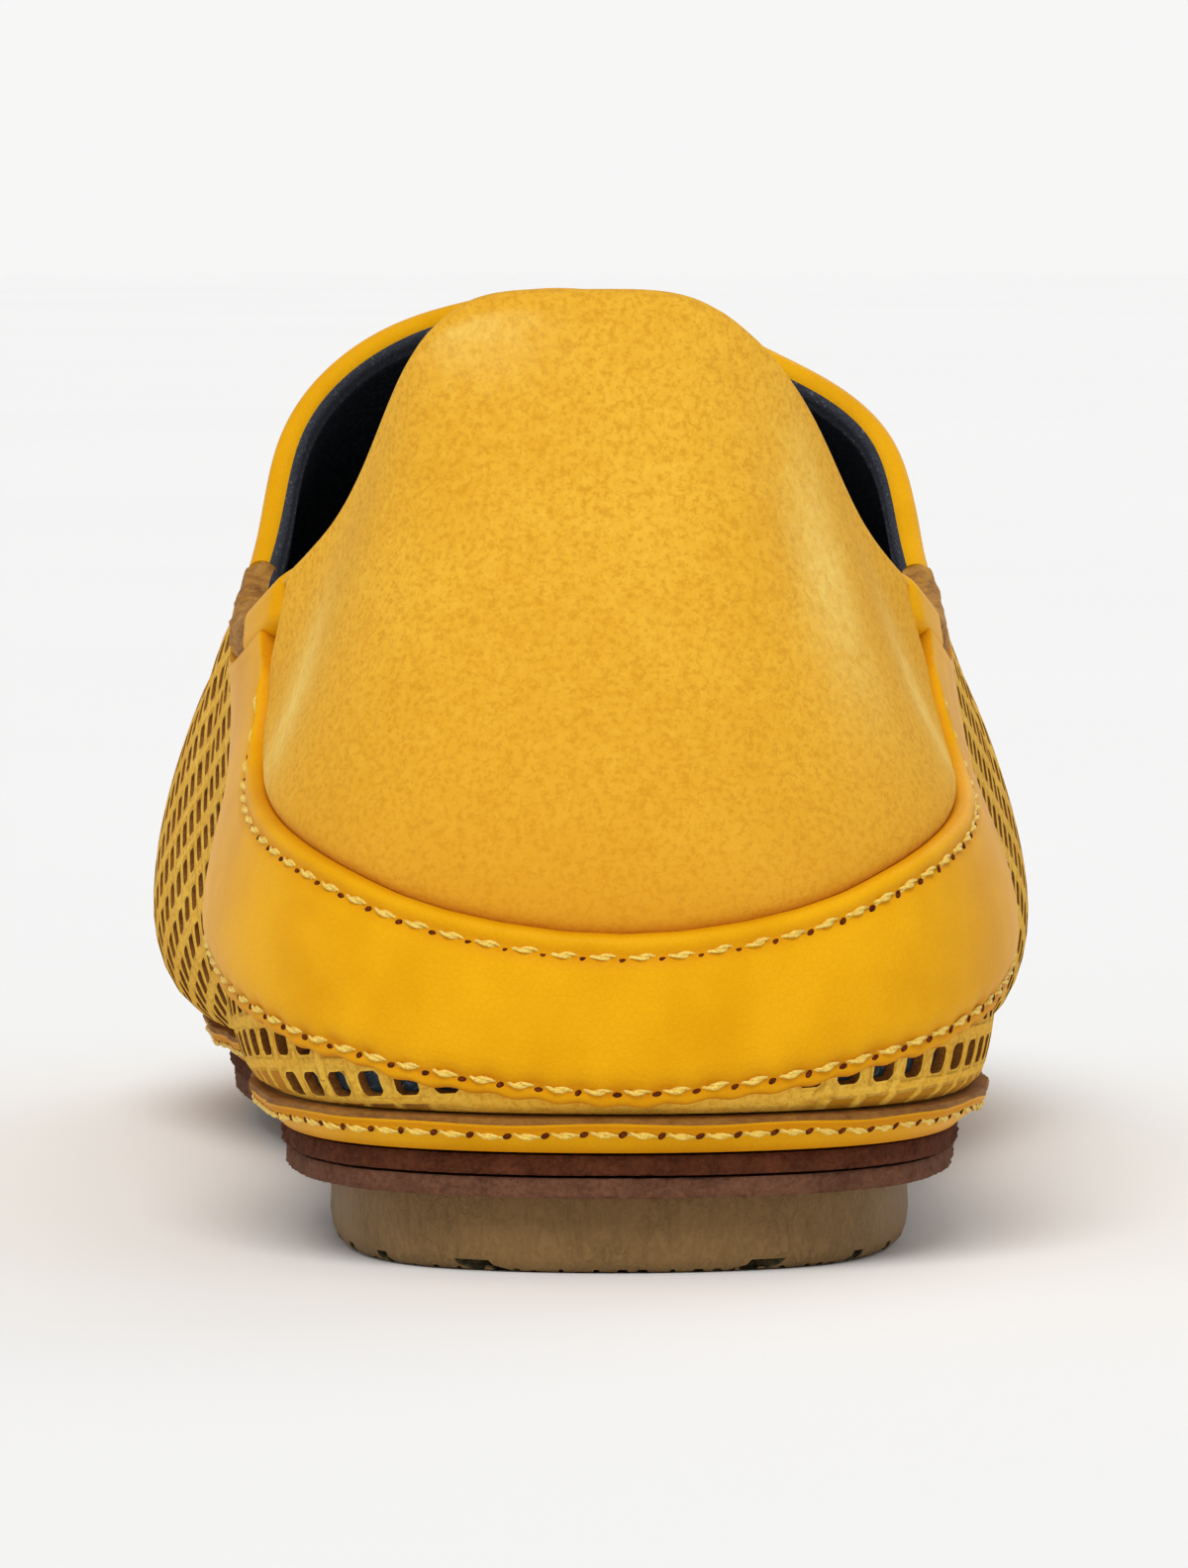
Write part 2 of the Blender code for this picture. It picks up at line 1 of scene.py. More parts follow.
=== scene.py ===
"""The looks of the yellow step-down-back loafer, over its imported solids.

Every surface is worked out again from the shoe's own sizes: the foot edge, where the upper
meets the rand, and the ribs that rise from it to the topline. Places on the upper are given as a
share of the way round the foot edge, from the back by the outer side, and a distance up the wall.
"""

import math

import bmesh
import bpy
import numpy as np
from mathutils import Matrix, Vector
from mathutils.bvhtree import BVHTree


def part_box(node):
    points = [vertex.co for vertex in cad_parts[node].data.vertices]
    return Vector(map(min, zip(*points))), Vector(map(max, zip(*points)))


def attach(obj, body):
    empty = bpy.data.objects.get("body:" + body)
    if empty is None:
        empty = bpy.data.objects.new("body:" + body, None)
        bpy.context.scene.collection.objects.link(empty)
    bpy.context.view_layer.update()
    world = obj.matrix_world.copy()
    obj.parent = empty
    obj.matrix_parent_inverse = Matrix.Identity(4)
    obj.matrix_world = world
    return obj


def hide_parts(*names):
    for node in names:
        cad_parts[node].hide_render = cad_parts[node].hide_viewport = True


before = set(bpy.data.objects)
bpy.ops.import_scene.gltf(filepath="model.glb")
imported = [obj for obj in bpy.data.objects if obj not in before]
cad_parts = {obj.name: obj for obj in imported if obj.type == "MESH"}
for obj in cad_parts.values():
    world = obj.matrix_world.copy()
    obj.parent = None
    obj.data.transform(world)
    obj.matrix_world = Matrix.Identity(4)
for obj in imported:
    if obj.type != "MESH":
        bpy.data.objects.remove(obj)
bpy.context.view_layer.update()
bpy.context.scene.view_settings.view_transform = "Standard"

MM = 0.001

# Sizes of the shoe, as in its solids
LENGTH = 280 * MM
HEEL_SEAT_WIDTH = 71 * MM
BALL_SEAT_WIDTH = 87 * MM
TOPLINE_WIDTH = 72 * MM
BACK_RISE = 79.8 * MM
SIDE_RISE = 45.3 * MM
INSTEP_RISE = 78.8 * MM
WALL = 1.8 * MM
OVERHANG = 7.4 * MM
BELLY = 16 * MM
COLLAR_EDGE_WIDTH = 3.6 * MM
BINDING_WIDTH = 6 * MM
INNER_TURN = 3.5 * MM
HEEL_HEIGHT = 8 * MM
HEEL_LENGTH = 62 * MM
PAD_THICKNESS = 4 * MM
LEATHER_THICKNESS = 2.0 * MM
RAND_THICKNESS = 3.7 * MM
RAND_WIDTH = 8 * MM
RAND_FLARE = 2.6 * MM
RAND_LIP = 1.4 * MM
INSOLE_THICKNESS = 2.5 * MM
LEATHER_INSET = 2.2 * MM
LEATHER_STEP = 0.4 * MM
TREAD_INSET = 4.5 * MM
PAD_START = 118 * MM
FLAT_START = 160 * MM
FLAT_END = 206 * MM
TOE_SPRING = 8 * MM
ARCH_RISE = 1.5 * MM
GAP = 0.3 * MM
SKIN_GAP = 0.5 * MM

# Foot edge seen from above, round the shoe from the back by way of the outer side.
# along: share of the length; heel, ball: shares of half the two seat widths
FOOT_EDGE = (
    # place, along, heel, ball
    ("back", 0.012, 0.02, 0.00),
    ("outer back corner", 0.048, 0.75, 0.00),
    ("outer heel", 0.155, 1.05, 0.00),
    ("outer heel front", 0.300, 0.74, 0.24),
    ("outer waist", 0.450, 0.32, 0.61),
    ("outer ball", 0.615, 0.00, 1.00),
    ("outer toe", 0.775, 0.00, 0.91),
    ("outer toe corner", 0.905, 0.00, 0.57),
    ("toe", 0.974, 0.00, -0.08),
    ("inner toe corner", 0.915, 0.00, -0.66),
    ("inner toe", 0.800, 0.00, -0.92),
    ("inner ball", 0.680, 0.00, -0.975),
    ("inner waist", 0.520, -0.18, -0.70),
    ("inner arch", 0.385, -0.50, -0.34),
    ("inner heel front", 0.260, -0.84, -0.10),
    ("inner heel", 0.150, -0.98, 0.00),
    ("inner back corner", 0.048, -0.71, 0.00),
)

# Topline, by the share of the way round the foot edge at which its rib starts.
# along: share of the length; out: share of half the topline's width;
# back, instep: shares of what the back and the instep rise above the sides
TOPLINE = (
    # round, along, out, back, instep
    (0.000, 0.075, -0.07, 1.00, 0.00),
    (0.027, 0.079, 0.25, 0.965, 0.00),
    (0.055, 0.100, 0.485, 0.735, 0.00),
    (0.095, 0.140, 0.68, 0.34, 0.00),
    (0.122, 0.172, 0.82, 0.155, 0.00),
    (0.150, 0.214, 0.91, 0.04, 0.00),
    (0.180, 0.268, 0.96, 0.00, 0.00),
    (0.218, 0.318, 0.92, 0.00, 0.21),
    (0.258, 0.350, 0.85, 0.00, 0.53),
    (0.315, 0.382, 0.55, 0.00, 0.785),
    (0.400, 0.409, 0.27, 0.00, 0.925),
    (0.506, 0.421, -0.08, 0.00, 1.00),
    (0.605, 0.412, -0.40, 0.00, 0.955),
    (0.675, 0.388, -0.69, 0.00, 0.835),
    (0.738, 0.350, -0.92, 0.00, 0.54),
    (0.782, 0.318, -0.985, 0.00, 0.22),
    (0.820, 0.268, -1.04, 0.00, 0.00),
    (0.850, 0.214, -0.985, 0.04, 0.00),
    (0.878, 0.172, -0.885, 0.165, 0.00),
    (0.905, 0.140, -0.73, 0.36, 0.00),
    (0.945, 0.100, -0.57, 0.735, 0.00),
    (0.973, 0.079, -0.40, 0.965, 0.00),
)

# Section of the upper, by the share of the way round.
# swell, belly: shares of OVERHANG and BELLY; lift: how far the wall stands straight up, and
# reach, drop: how far the curve is drawn out below the topline, as shares of what is left
SECTIONS = (
    # round, swell, belly, lift, reach, drop
    (0.000, 0.46, 0.75, 0.25, 0.30, 0.45),
    (0.060, 0.46, 0.85, 0.25, 0.26, 0.45),
    (0.130, 0.30, 1.00, 0.25, 0.30, 0.45),
    (0.220, 0.62, 0.90, 0.24, 0.40, 0.45),
    (0.310, 0.90, 0.78, 0.20, 0.62, 0.38),
    (0.400, 0.94, 0.70, 0.34, 0.66, 0.62),
    (0.506, 0.94, 0.60, 0.42, 0.66, 0.82),
    (0.600, 0.94, 0.70, 0.36, 0.66, 0.66),
    (0.680, 0.97, 0.78, 0.20, 0.62, 0.40),
    (0.770, 0.70, 0.90, 0.24, 0.40, 0.45),
    (0.870, 0.64, 1.00, 0.25, 0.30, 0.45),
    (0.940, 0.50, 0.85, 0.25, 0.26, 0.45),
)

# Foxing on one side, from the back to its front end; the other side mirrors it.
# round: share of the way round; low, high: shares of SIDE_RISE above the foot edge. At the three
# rearmost places its lower edge lies lower than in the solids, as in the photograph.
FOXING = (
    # round, low, high
    (0.000, 0.022, 0.385),
    (0.025, 0.058, 0.435),
    (0.050, 0.125, 0.555),
    (0.075, 0.200, 0.635),
    (0.095, 0.250, 0.685),
    (0.108, 0.275, 0.745),
    (0.117, 0.290, 0.83),
    (0.123, 0.310, 1.00),
    (0.130, 0.325, 1.02),
    (0.150, 0.380, 1.02),
    (0.160, 0.490, 1.02),
    (0.170, 0.610, 1.02),
    (0.185, 0.800, 1.03),
    (0.198, 0.910, 1.08),
)
# Shares of the way round, from the back, where pieces stop on each side
PANEL_END = 0.122
COLLAR_EDGE_END = 0.208
RAW_START = 0.150

# Sizes that only the looks have
LEATHER = 1.1 * MM  # the upper's leather, with the lining under it
HOLE = 2.7 * MM
HOLE_PITCH = 4.45 * MM
STITCH_PITCH = 3.85 * MM
# Near the heel the punched lattice is turned by this much more, from one share to the next
WING_TURN = math.radians(-12)
WING_START, WING_END = 0.22, 0.06
PUNCHED_LEVELS = 45  # up the punched wall, few enough that its cuts stay light
PLAIN_BACK = 0.026  # no holes nearer than this share to the back
PLAIN_BACK_FADE = 0.006  # share over which the leather's worn look then comes in
TOE_SHARE = 0.506  # how far round the toe's tip is
LOWER_SEAM, TOP_SEAM = 1.7, 2.35  # the foxing's seams, in mm in from its lower and upper edge
# Paler rubbed places on the back panel: across, up from the foxing, width and height
PANEL_SCUFFS = (
    (-52 * MM, 9 * MM, 7 * MM, 12 * MM),
    (53 * MM, 8 * MM, 6 * MM, 11 * MM),
    (30 * MM, 30 * MM, 6 * MM, 13 * MM),
    (-20 * MM, 62 * MM, 11 * MM, 6 * MM),
)

# Heights of the foxing's outside, in mm: up from its lower edge, and taken off down from its top
FOX_FOOT = (
    # distance, height
    (0.0, 0.75),
    (0.3 * MM, 1.30),
    (0.8 * MM, 1.55),
    (1.7 * MM, 1.35),
    (2.6 * MM, 1.75),
    (3.8 * MM, 2.00),
)
FOX_DIP = (
    # distance, height taken off
    (0.0, 1.15),
    (0.25 * MM, 0.35),
    (0.7 * MM, -0.10),
    (1.3 * MM, -0.18),
    (2.35 * MM, 0.28),
    (3.3 * MM, 0.02),
    (4.2 * MM, 0.0),
)

# Creases pressed into the upper: depth in mm (below 0 for a trough), width, and the line
# by shares of the way round and of the way up
CREASES = (
    # back: the soft fold down its outer side, and the hollow over the foxing
    (-0.45 * MM, 4 * MM, ((0.030, 0.97), (0.038, 0.80), (0.052, 0.66))),
    (0.30 * MM, 5 * MM, ((0.020, 0.96), (0.024, 0.80), (0.030, 0.68))),
    (-0.35 * MM, 5 * MM, ((0.975, 0.95), (0.968, 0.78), (0.955, 0.66))),
    (-0.40 * MM, 7 * MM, ((0.075, 0.66), (0.090, 0.62), (0.108, 0.66))),
    (-0.40 * MM, 7 * MM, ((0.925, 0.66), (0.910, 0.62), (0.892, 0.66))),
    # quarters: slack under the collar
    (-0.55 * MM, 6 * MM, ((0.165, 0.86), (0.195, 0.72), (0.225, 0.66))),
    (-0.55 * MM, 6 * MM, ((0.835, 0.86), (0.805, 0.72), (0.775, 0.66))),
    (0.40 * MM, 7 * MM, ((0.185, 0.60), (0.215, 0.52), (0.245, 0.48))),
    (0.40 * MM, 7 * MM, ((0.815, 0.60), (0.785, 0.52), (0.755, 0.48))),
    # vamp: where it bends over the ball
    (-0.60 * MM, 4 * MM, ((0.330, 0.42), (0.400, 0.50), (0.506, 0.54), (0.600, 0.50),
                          (0.670, 0.42))),
    (0.45 * MM, 4 * MM, ((0.340, 0.49), (0.410, 0.58), (0.506, 0.62), (0.590, 0.58),
                         (0.660, 0.49))),
    (-0.50 * MM, 4 * MM, ((0.320, 0.57), (0.390, 0.66), (0.470, 0.70))),
    (-0.50 * MM, 4 * MM, ((0.690, 0.55), (0.630, 0.64), (0.560, 0.70))),
    (-0.40 * MM, 5 * MM, ((0.290, 0.34), (0.305, 0.48), (0.325, 0.62))),
    (-0.40 * MM, 5 * MM, ((0.715, 0.34), (0.700, 0.48), (0.680, 0.62))),
)


def closed_spline(knots, values, at):
    """A smooth curve of period 1 through (knots, values), read at the shares in at."""
    knots, values = np.asarray(knots, float), np.asarray(values, float)
    count = len(knots)
    step = np.diff(np.append(knots, knots[0] + 1))
    slope = (np.roll(values, -1) - values) / step
    matrix = np.zeros((count, count))
    for row in range(count):
        before = row - 1
        matrix[row, before] += step[before]
        matrix[row, row] += 2 * (step[before] + step[row])
        matrix[row, (row + 1) % count] += step[row]
    bend = np.linalg.solve(matrix, 6 * (slope - np.roll(slope, 1)))
    at = (np.asarray(at, float) - knots[0]) % 1 + knots[0]
    start = np.clip(np.searchsorted(knots, at, side="right") - 1, 0, count - 1)
    end, width = (start + 1) % count, step[start]
    right = (at - knots[start]) / width
    left = 1 - right
    swing = (left**3 - left) * bend[start] + (right**3 - right) * bend[end]
    return left * values[start] + right * values[end] + swing * width**2 / 6


def foot_edge_knots():
    rows = np.array([row[1:] for row in FOOT_EDGE])
    out = rows[:, 1] * HEEL_SEAT_WIDTH / 2 + rows[:, 2] * BALL_SEAT_WIDTH / 2
    points = np.stack([out, rows[:, 0] * LENGTH], axis=1)
    reach = np.linalg.norm(np.roll(points, -1, axis=0) - points, axis=1)
    return np.concatenate([[0], np.cumsum(reach)[:-1]]) / reach.sum(), points, reach.sum()


EDGE_KNOTS, EDGE_POINTS, EDGE_LENGTH = foot_edge_knots()
TOE_LINE = EDGE_POINTS[:, 1].max()
MIDSOLE_BOTTOM = LEATHER_THICKNESS + GAP
MIDSOLE_TOP = MIDSOLE_BOTTOM + LEATHER_THICKNESS
RAND_BOTTOM = MIDSOLE_TOP + GAP
RAND_TOP = RAND_BOTTOM + RAND_THICKNESS
UPPER_BOTTOM = RAND_TOP + GAP
SEAT_LEVEL = HEEL_HEIGHT + UPPER_BOTTOM


def edge_plan(share, inset):
    """The foot edge in plan, drawn in by inset, and the way out from it."""
    share, nudge = np.asarray(share, float), 1e-4

    def at(shares):
        axes = [closed_spline(EDGE_KNOTS, EDGE_POINTS[:, axis], shares) for axis in (0, 1)]
        return np.stack(axes, axis=-1)

    along = at(share + nudge) - at(share - nudge)
    along /= np.linalg.norm(along, axis=-1, keepdims=True)
    outward = np.stack([along[..., 1], -along[..., 0]], axis=-1)
    return at(share) - outward * np.asarray(inset)[..., None], outward


def sole_line(y):
    """Height of the leather's underside: level at the heel and the ball, rising at the toe."""
    y = np.asarray(y, float)
    waist = np.clip((y - HEEL_LENGTH) / (FLAT_START - HEEL_LENGTH), 0, 1)
    down = waist * waist * (3 - 2 * waist)
    toe = np.clip((y - FLAT_END) / (TOE_LINE - FLAT_END), 0, None)
    arch = ARCH_RISE * np.sin(np.pi * waist) ** 2
    return HEEL_HEIGHT + (PAD_THICKNESS - HEEL_HEIGHT) * down + arch + TOE_SPRING * toe**2


def edge_place():
    """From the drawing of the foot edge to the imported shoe, whose origin is under its middle."""
    plan = edge_plan(np.arange(512) / 512, LEATHER_INSET)[0]
    low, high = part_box("outsole")
    drawn = (plan.min(axis=0) + plan.max(axis=0)) / 2
    return np.array([(low[0] + high[0]) / 2 - drawn[0], (low[1] + high[1]) / 2 - drawn[1], 0])


PLACE = edge_place()


def edge_at(share, inset, level):
    """Points drawn in from the foot edge, at a height above the sole line."""
    plan = edge_plan(share, inset)[0]
    height = sole_line(plan[..., 1]) + level
    return np.concatenate([plan, height[..., None]], axis=-1) + PLACE


def column(table, shares, number):
    return closed_spline([row[0] for row in table], [row[number] for row in table], shares)


def unit(vectors):
    return vectors / np.linalg.norm(vectors, axis=-1, keepdims=True)


def runs(points):
    """Distance from the first point of each row to each, by way of those between."""
    steps = np.linalg.norm(np.diff(points, axis=-2), axis=-1)
    return np.concatenate([np.zeros_like(steps[..., :1]), np.cumsum(steps, axis=-1)], axis=-1)

RIBS, RUNGS = 960, 128


def draw_wall():
    """The outside of the upper, rib by rib, evenly spaced from the foot edge to the topline."""
    share = np.arange(RIBS) / RIBS
    swell, belly, lift, reach, drop = (column(SECTIONS, share, n)[:, None] for n in range(1, 6))
    along, out, back, instep = (column(TOPLINE, share, n) for n in (1, 2, 3, 4))
    foot, wide = edge_plan(share, 0.0)[0], edge_plan(share, -swell[:, 0] * OVERHANG)[0]
    rise = SIDE_RISE + back * (BACK_RISE - SIDE_RISE) + instep * (INSTEP_RISE - SIDE_RISE)
    top = np.stack([out * TOPLINE_WIDTH / 2, along * LENGTH, SEAT_LEVEL + rise], axis=1)
    low = sole_line(foot[:, 1])[:, None] + UPPER_BOTTOM
    turn = np.linspace(0, np.pi / 2, 25)
    plan = foot[:, None] + (wide - foot)[:, None] * np.sin(turn)[None, :, None]
    height = low + belly * BELLY * (1 - np.cos(turn))
    under = np.concatenate([plan, height[..., None]], axis=2)
    start = under[:, -1]
    climb = top[:, 2:] - start[:, 2:]
    first = start + np.concatenate([0 * reach, 0 * reach, lift * climb], axis=1)
    second = top + np.concatenate([(start - top)[:, :2] * reach, -drop * climb], axis=1)
    t = np.linspace(0, 1, 97)[1:, None]
    over = (1 - t) ** 3 * start[:, None] + 3 * (1 - t) ** 2 * t * first[:, None]
    over = over + 3 * (1 - t) * t**2 * second[:, None] + t**3 * top[:, None]
    curve = np.concatenate([under, over], axis=1)
    run = runs(curve)
    points = np.empty((RIBS, RUNGS, 3))
    for rib in range(RIBS):
        even = np.linspace(0, run[rib, -1], RUNGS)
        for axis in range(3):
            points[rib, :, axis] = np.interp(even, run[rib], curve[rib, :, axis])
    return points + PLACE, run[:, -1]


def facing(points):
    """The way out of the wall at each of its points."""
    across = np.roll(points, -1, axis=0) - np.roll(points, 1, axis=0)
    return unit(np.cross(across, np.gradient(points, axis=1)))


WALL_POINTS, WALL_RISE = draw_wall()
WALL_OUT = facing(WALL_POINTS)


def read(grid, share, part):
    """A grid over the wall, read smoothly at shares round it and parts of the way up."""
    share, part = np.broadcast_arrays(share, part)
    round_it = (share % 1) * RIBS
    left = np.floor(round_it).astype(int) % RIBS
    across = (round_it - np.floor(round_it))[..., None]
    up = np.clip(part, 0, 1) * (RUNGS - 1)
    below = np.minimum(up.astype(int), RUNGS - 2)
    rise = (up - below)[..., None]
    right = (left + 1) % RIBS
    low = grid[left, below] * (1 - across) + grid[right, below] * across
    high = grid[left, below + 1] * (1 - across) + grid[right, below + 1] * across
    return low * (1 - rise) + high * rise


def along_edge(edge, share):
    """What edge gives for each rib, read at shares of the way round."""
    at = np.append(np.arange(RIBS), RIBS) / RIBS
    return np.interp(np.asarray(share) % 1, at, np.append(edge, edge[0]))


def whole(share):
    """How far the wall rises at a share of the way round."""
    return along_edge(WALL_RISE, share)


def skin(share, distance, lift=0.0):
    """Points a distance up the wall, moved out by lift; past the topline the wall runs on."""
    share, distance, lift = np.broadcast_arrays(share, distance, lift)
    rise = whole(share)
    on = read(WALL_POINTS, share, distance / rise)
    end = read(WALL_POINTS, share, np.ones_like(rise))
    way = unit(end - read(WALL_POINTS, share, 1 - 2 * MM / rise))
    past = np.clip(distance - rise, 0, None)[..., None]
    return on + unit(read(WALL_OUT, share, distance / rise)) * lift[..., None] + way * past


def press_creases():
    """Presses the creases into the wall as soft troughs and ridges, and reads its facing again."""
    relief = np.zeros(WALL_POINTS.shape[:2])
    for depth, width, line in CREASES:
        knots = np.array(line)
        at = np.linspace(0, len(knots) - 1, 10 * len(knots))
        share, part = (np.interp(at, np.arange(len(knots)), knots[:, axis]) for axis in (0, 1))
        path = read(WALL_POINTS, share, part)
        fade = np.sin(np.pi * np.linspace(0.08, 0.92, len(at))) ** 0.7
        best = np.zeros_like(relief)
        for spot, strength in zip(path, fade):
            away = ((WALL_POINTS - spot) ** 2).sum(axis=2)
            best = np.maximum(best, strength * np.exp(-away / width**2))
        relief += depth * best
    return WALL_POINTS + WALL_OUT * relief[..., None]


def fox_edge(number):
    """Distance up each rib of the foxing's lower (1) or upper (2) edge."""
    away = np.minimum(np.arange(RIBS) / RIBS, 1 - np.arange(RIBS) / RIBS)
    rounds = [row[0] for row in FOXING]
    shares = [row[number] for row in FOXING]
    smoothed = [np.interp(np.abs(away + shift), rounds, shares) for shift in (-0.008, 0, 0.008)]
    height = np.mean(smoothed, axis=0) * SIDE_RISE
    edge = np.array([
        np.interp(points[0, 2] + h, points[:, 2], np.linspace(0, rise, RUNGS))
        for points, h, rise in zip(WALL_POINTS, height, WALL_RISE)
    ])
    limit = WALL_RISE - COLLAR_EDGE_WIDTH - GAP
    edge = edge if number == 1 else np.minimum(edge, limit)
    return np.where(away > rounds[-1], WALL_RISE, edge)


FOX_LOW, FOX_HIGH = fox_edge(1), fox_edge(2)
WALL_POINTS = press_creases()
WALL_OUT = facing(WALL_POINTS)


def add_node(tree, kind, settings, inputs):
    """A node with its settings made first, then the values or links of its sockets."""
    node = tree.nodes.new(kind)
    for key, value in (settings or {}).items():
        setattr(node, key, value)
    for key, value in (inputs or {}).items():
        socket = node.inputs[key]
        value = value.socket if isinstance(value, Value) else value
        if isinstance(value, bpy.types.NodeSocket):
            tree.links.new(value, socket)
        else:
            socket.default_value = value
    return node


class Value:
    """A socket that takes plain arithmetic; each operation adds its Math node."""

    def __init__(self, tree, socket):
        self.tree, self.socket = tree, socket

    def maths(self, operation, *values):
        settings = {"operation": operation}
        node = add_node(self.tree, "ShaderNodeMath", settings, dict(enumerate(values)))
        return Value(self.tree, node.outputs[0])

    def __add__(self, other):
        return self.maths("ADD", self, other)

    def __sub__(self, other):
        return self.maths("SUBTRACT", self, other)

    def __rsub__(self, other):
        return self.maths("SUBTRACT", other, self)

    def __mul__(self, other):
        return self.maths("MULTIPLY", self, other)

    def between(self, low, high):
        """0 below low, 1 above high, and smooth between."""
        inputs = {0: self, 1: low, 2: high, 3: 0.0, 4: 1.0}
        settings = {"interpolation_type": "SMOOTHSTEP"}
        node = add_node(self.tree, "ShaderNodeMapRange", settings, inputs)
        return Value(self.tree, node.outputs[0])


class Finish:
    """One material, built from values over the piece's own coordinates."""

    def __init__(self, name, **sockets):
        self.material = bpy.data.materials.new(name)
        self.material.use_nodes = True
        self.tree = self.material.node_tree
        self.surface = self.tree.nodes["Principled BSDF"]
        for key, value in sockets.items():
            self.surface.inputs[key.replace("_", " ")].default_value = value
        self.place = self.value("ShaderNodeTexCoord", None, None, "Object")

    def value(self, kind, settings, inputs, output):
        return Value(self.tree, add_node(self.tree, kind, settings, inputs).outputs[output])

    def attribute(self, name):
        return self.value("ShaderNodeAttribute", {"attribute_name": name}, None, "Fac")

    def stretched(self, x, y, z):
        inputs = {"Vector": self.place, "Scale": (x, y, z)}
        return self.value("ShaderNodeMapping", None, inputs, 0)

    def noise(self, size, detail=2.0, roughness=0.5, place=None, distortion=0.0):
        """Soft noise whose grains are about size across, in metres."""
        inputs = {"Vector": place or self.place, "Scale": 1 / size, "Detail": detail,
                  "Roughness": roughness, "Distortion": distortion}
        return self.value("ShaderNodeTexNoise", None, inputs, "Fac")

    def cells(self, size):
        """Distance to the edges of a net of cells about size across."""
        inputs = {"Vector": self.place, "Scale": 1 / size}
        settings = {"feature": "DISTANCE_TO_EDGE"}
        return self.value("ShaderNodeTexVoronoi", settings, inputs, "Distance")

    def mix(self, low, high, factor):
        """One colour passing into another, each a colour so far or a six-figure code."""
        low, high = ((*tint(c), 1) if isinstance(c, str) else c for c in (low, high))
        inputs = {0: factor, 6: low, 7: high}
        return self.value("ShaderNodeMix", {"data_type": "RGBA"}, inputs, 2)

    def shade(self, colour, roughness, height=None, depth=0.1 * MM):
        """Gives the surface its colour, roughness and bump, and hands over the material."""
        for key, value in (("Base Color", colour), ("Roughness", roughness)):
            self.tree.links.new(value.socket, self.surface.inputs[key])
        if height is not None:
            inputs = {"Height": height, "Distance": depth, "Strength": 1.0}
            bump = self.value("ShaderNodeBump", None, inputs, 0)
            self.tree.links.new(bump.socket, self.surface.inputs["Normal"])
        return self.material


def tint(code):
    """A colour as the screen shows it, from its six-figure code, as the linear one."""
    parts = [int(code[i : i + 2], 16) / 255 for i in (0, 2, 4)]
    return tuple(p / 12.92 if p <= 0.04045 else ((p + 0.055) / 1.055) ** 2.4 for p in parts)


def nubuck(name, dark, light, lattice=False):
    """Yellow nubuck: cloudy, napped and finely specked; worn darker round punched holes."""
    f = Finish(name, Sheen_Weight=0.03, Sheen_Roughness=0.5, Specular_IOR_Level=0.05)
    clouds = f.noise(24 * MM, 2, 0.5, distortion=0.4).between(0.34, 0.68)
    brushed = f.noise(1.5 * MM, 4, 0.75).between(0.25, 0.75)
    nap = f.noise(0.7 * MM, 4, 0.75)
    specks = f.noise(1.0 * MM, 2, 0.6).between(0.73, 0.77)
    colour = f.mix(dark, light, clouds * 0.4 + brushed * 0.6)
    colour = f.mix(colour, "C98A1E", (1 - nap.between(0.36, 0.56)) * 0.6)
    colour = f.mix(colour, "8A5A12", specks * 0.35)
    # painted shade: a darker orange where the mask lies, just above the foxing
    colour = f.mix(colour, "CE8716", f.attribute("low_shade") * (brushed * 0.3 + 0.5))
    colour = f.mix(colour, "F7D776", f.attribute("scuffed") * (brushed * 0.5 + 0.3))
    height = nap * 0.9 + brushed * 0.4
    if not lattice:
        return f.shade(colour, nap * 0.1 + 0.84, height, 0.11 * MM)
    spot = f.value("ShaderNodeUVMap", {"uv_map": "lattice"}, None, 0)
    split = add_node(f.tree, "ShaderNodeSeparateXYZ", None, {0: spot})
    sides = [Value(f.tree, split.outputs[n]) for n in (0, 1)]
    sides = [side.maths("FRACT", side) - 0.5 for side in sides]
    away = [side.maths("ABSOLUTE", side) for side in sides]
    rim = away[0].maths("MAXIMUM", *away)
    punched = f.attribute("punched")
    colour = f.mix(colour, "B87C16", (1 - rim.between(0.312, 0.335)) * punched)
    height = height + rim.between(0.30, 0.42) * punched * 2.6
    return f.shade(colour, nap * 0.1 + 0.82, height, 0.16 * MM)


def smooth_leather(name):
    """Smooth dyed leather with a low shine, fine grain, drawn lines near the edges and painted
    shade.
    """
    f = Finish(name, Specular_IOR_Level=0.05)
    clouds = f.noise(18 * MM, 3, 0.55).between(0.3, 0.7)
    grain = f.cells(0.75 * MM).between(0.0, 0.12)
    pores = f.noise(0.5 * MM, 3, 0.6)
    lines = f.noise(3.4 * MM, 5, 0.62, f.stretched(1, 1, 0.45), 1.1)
    hollow_shade = f.attribute("hollow_shade")
    colour = f.mix("DE9C04", "EDAD0E", clouds)
    colour = f.mix("CC8A00", colour, grain * 0.1 + 0.9)
    # painted shade: a deeper orange where the mask marks seams, edges and recesses
    colour = f.mix(colour, "C06A06", hollow_shade * 0.75)
    height = grain * 0.16 + lines * 1.0 + pores * 0.7
    return f.shade(colour, pores * 0.12 + 0.36 + hollow_shade * 0.2, height, 0.09 * MM)


def raw_edge(name, dark, light, size=1.0):
    """A raw cut edge: layered fibres, burnished dark in places."""
    f = Finish(name, Specular_IOR_Level=0.2)
    fibres = f.noise(1.1 * MM * size, 5, 0.7, f.stretched(1, 1, 2.6))
    patches = f.noise(6 * MM * size, 3, 0.6).between(0.34, 0.66)
    colour = f.mix(dark, light, fibres.between(0.3, 0.7) * 0.6 + patches * 0.4)
    return f.shade(colour, fibres * 0.25 + 0.62, fibres, 0.35 * MM * size)


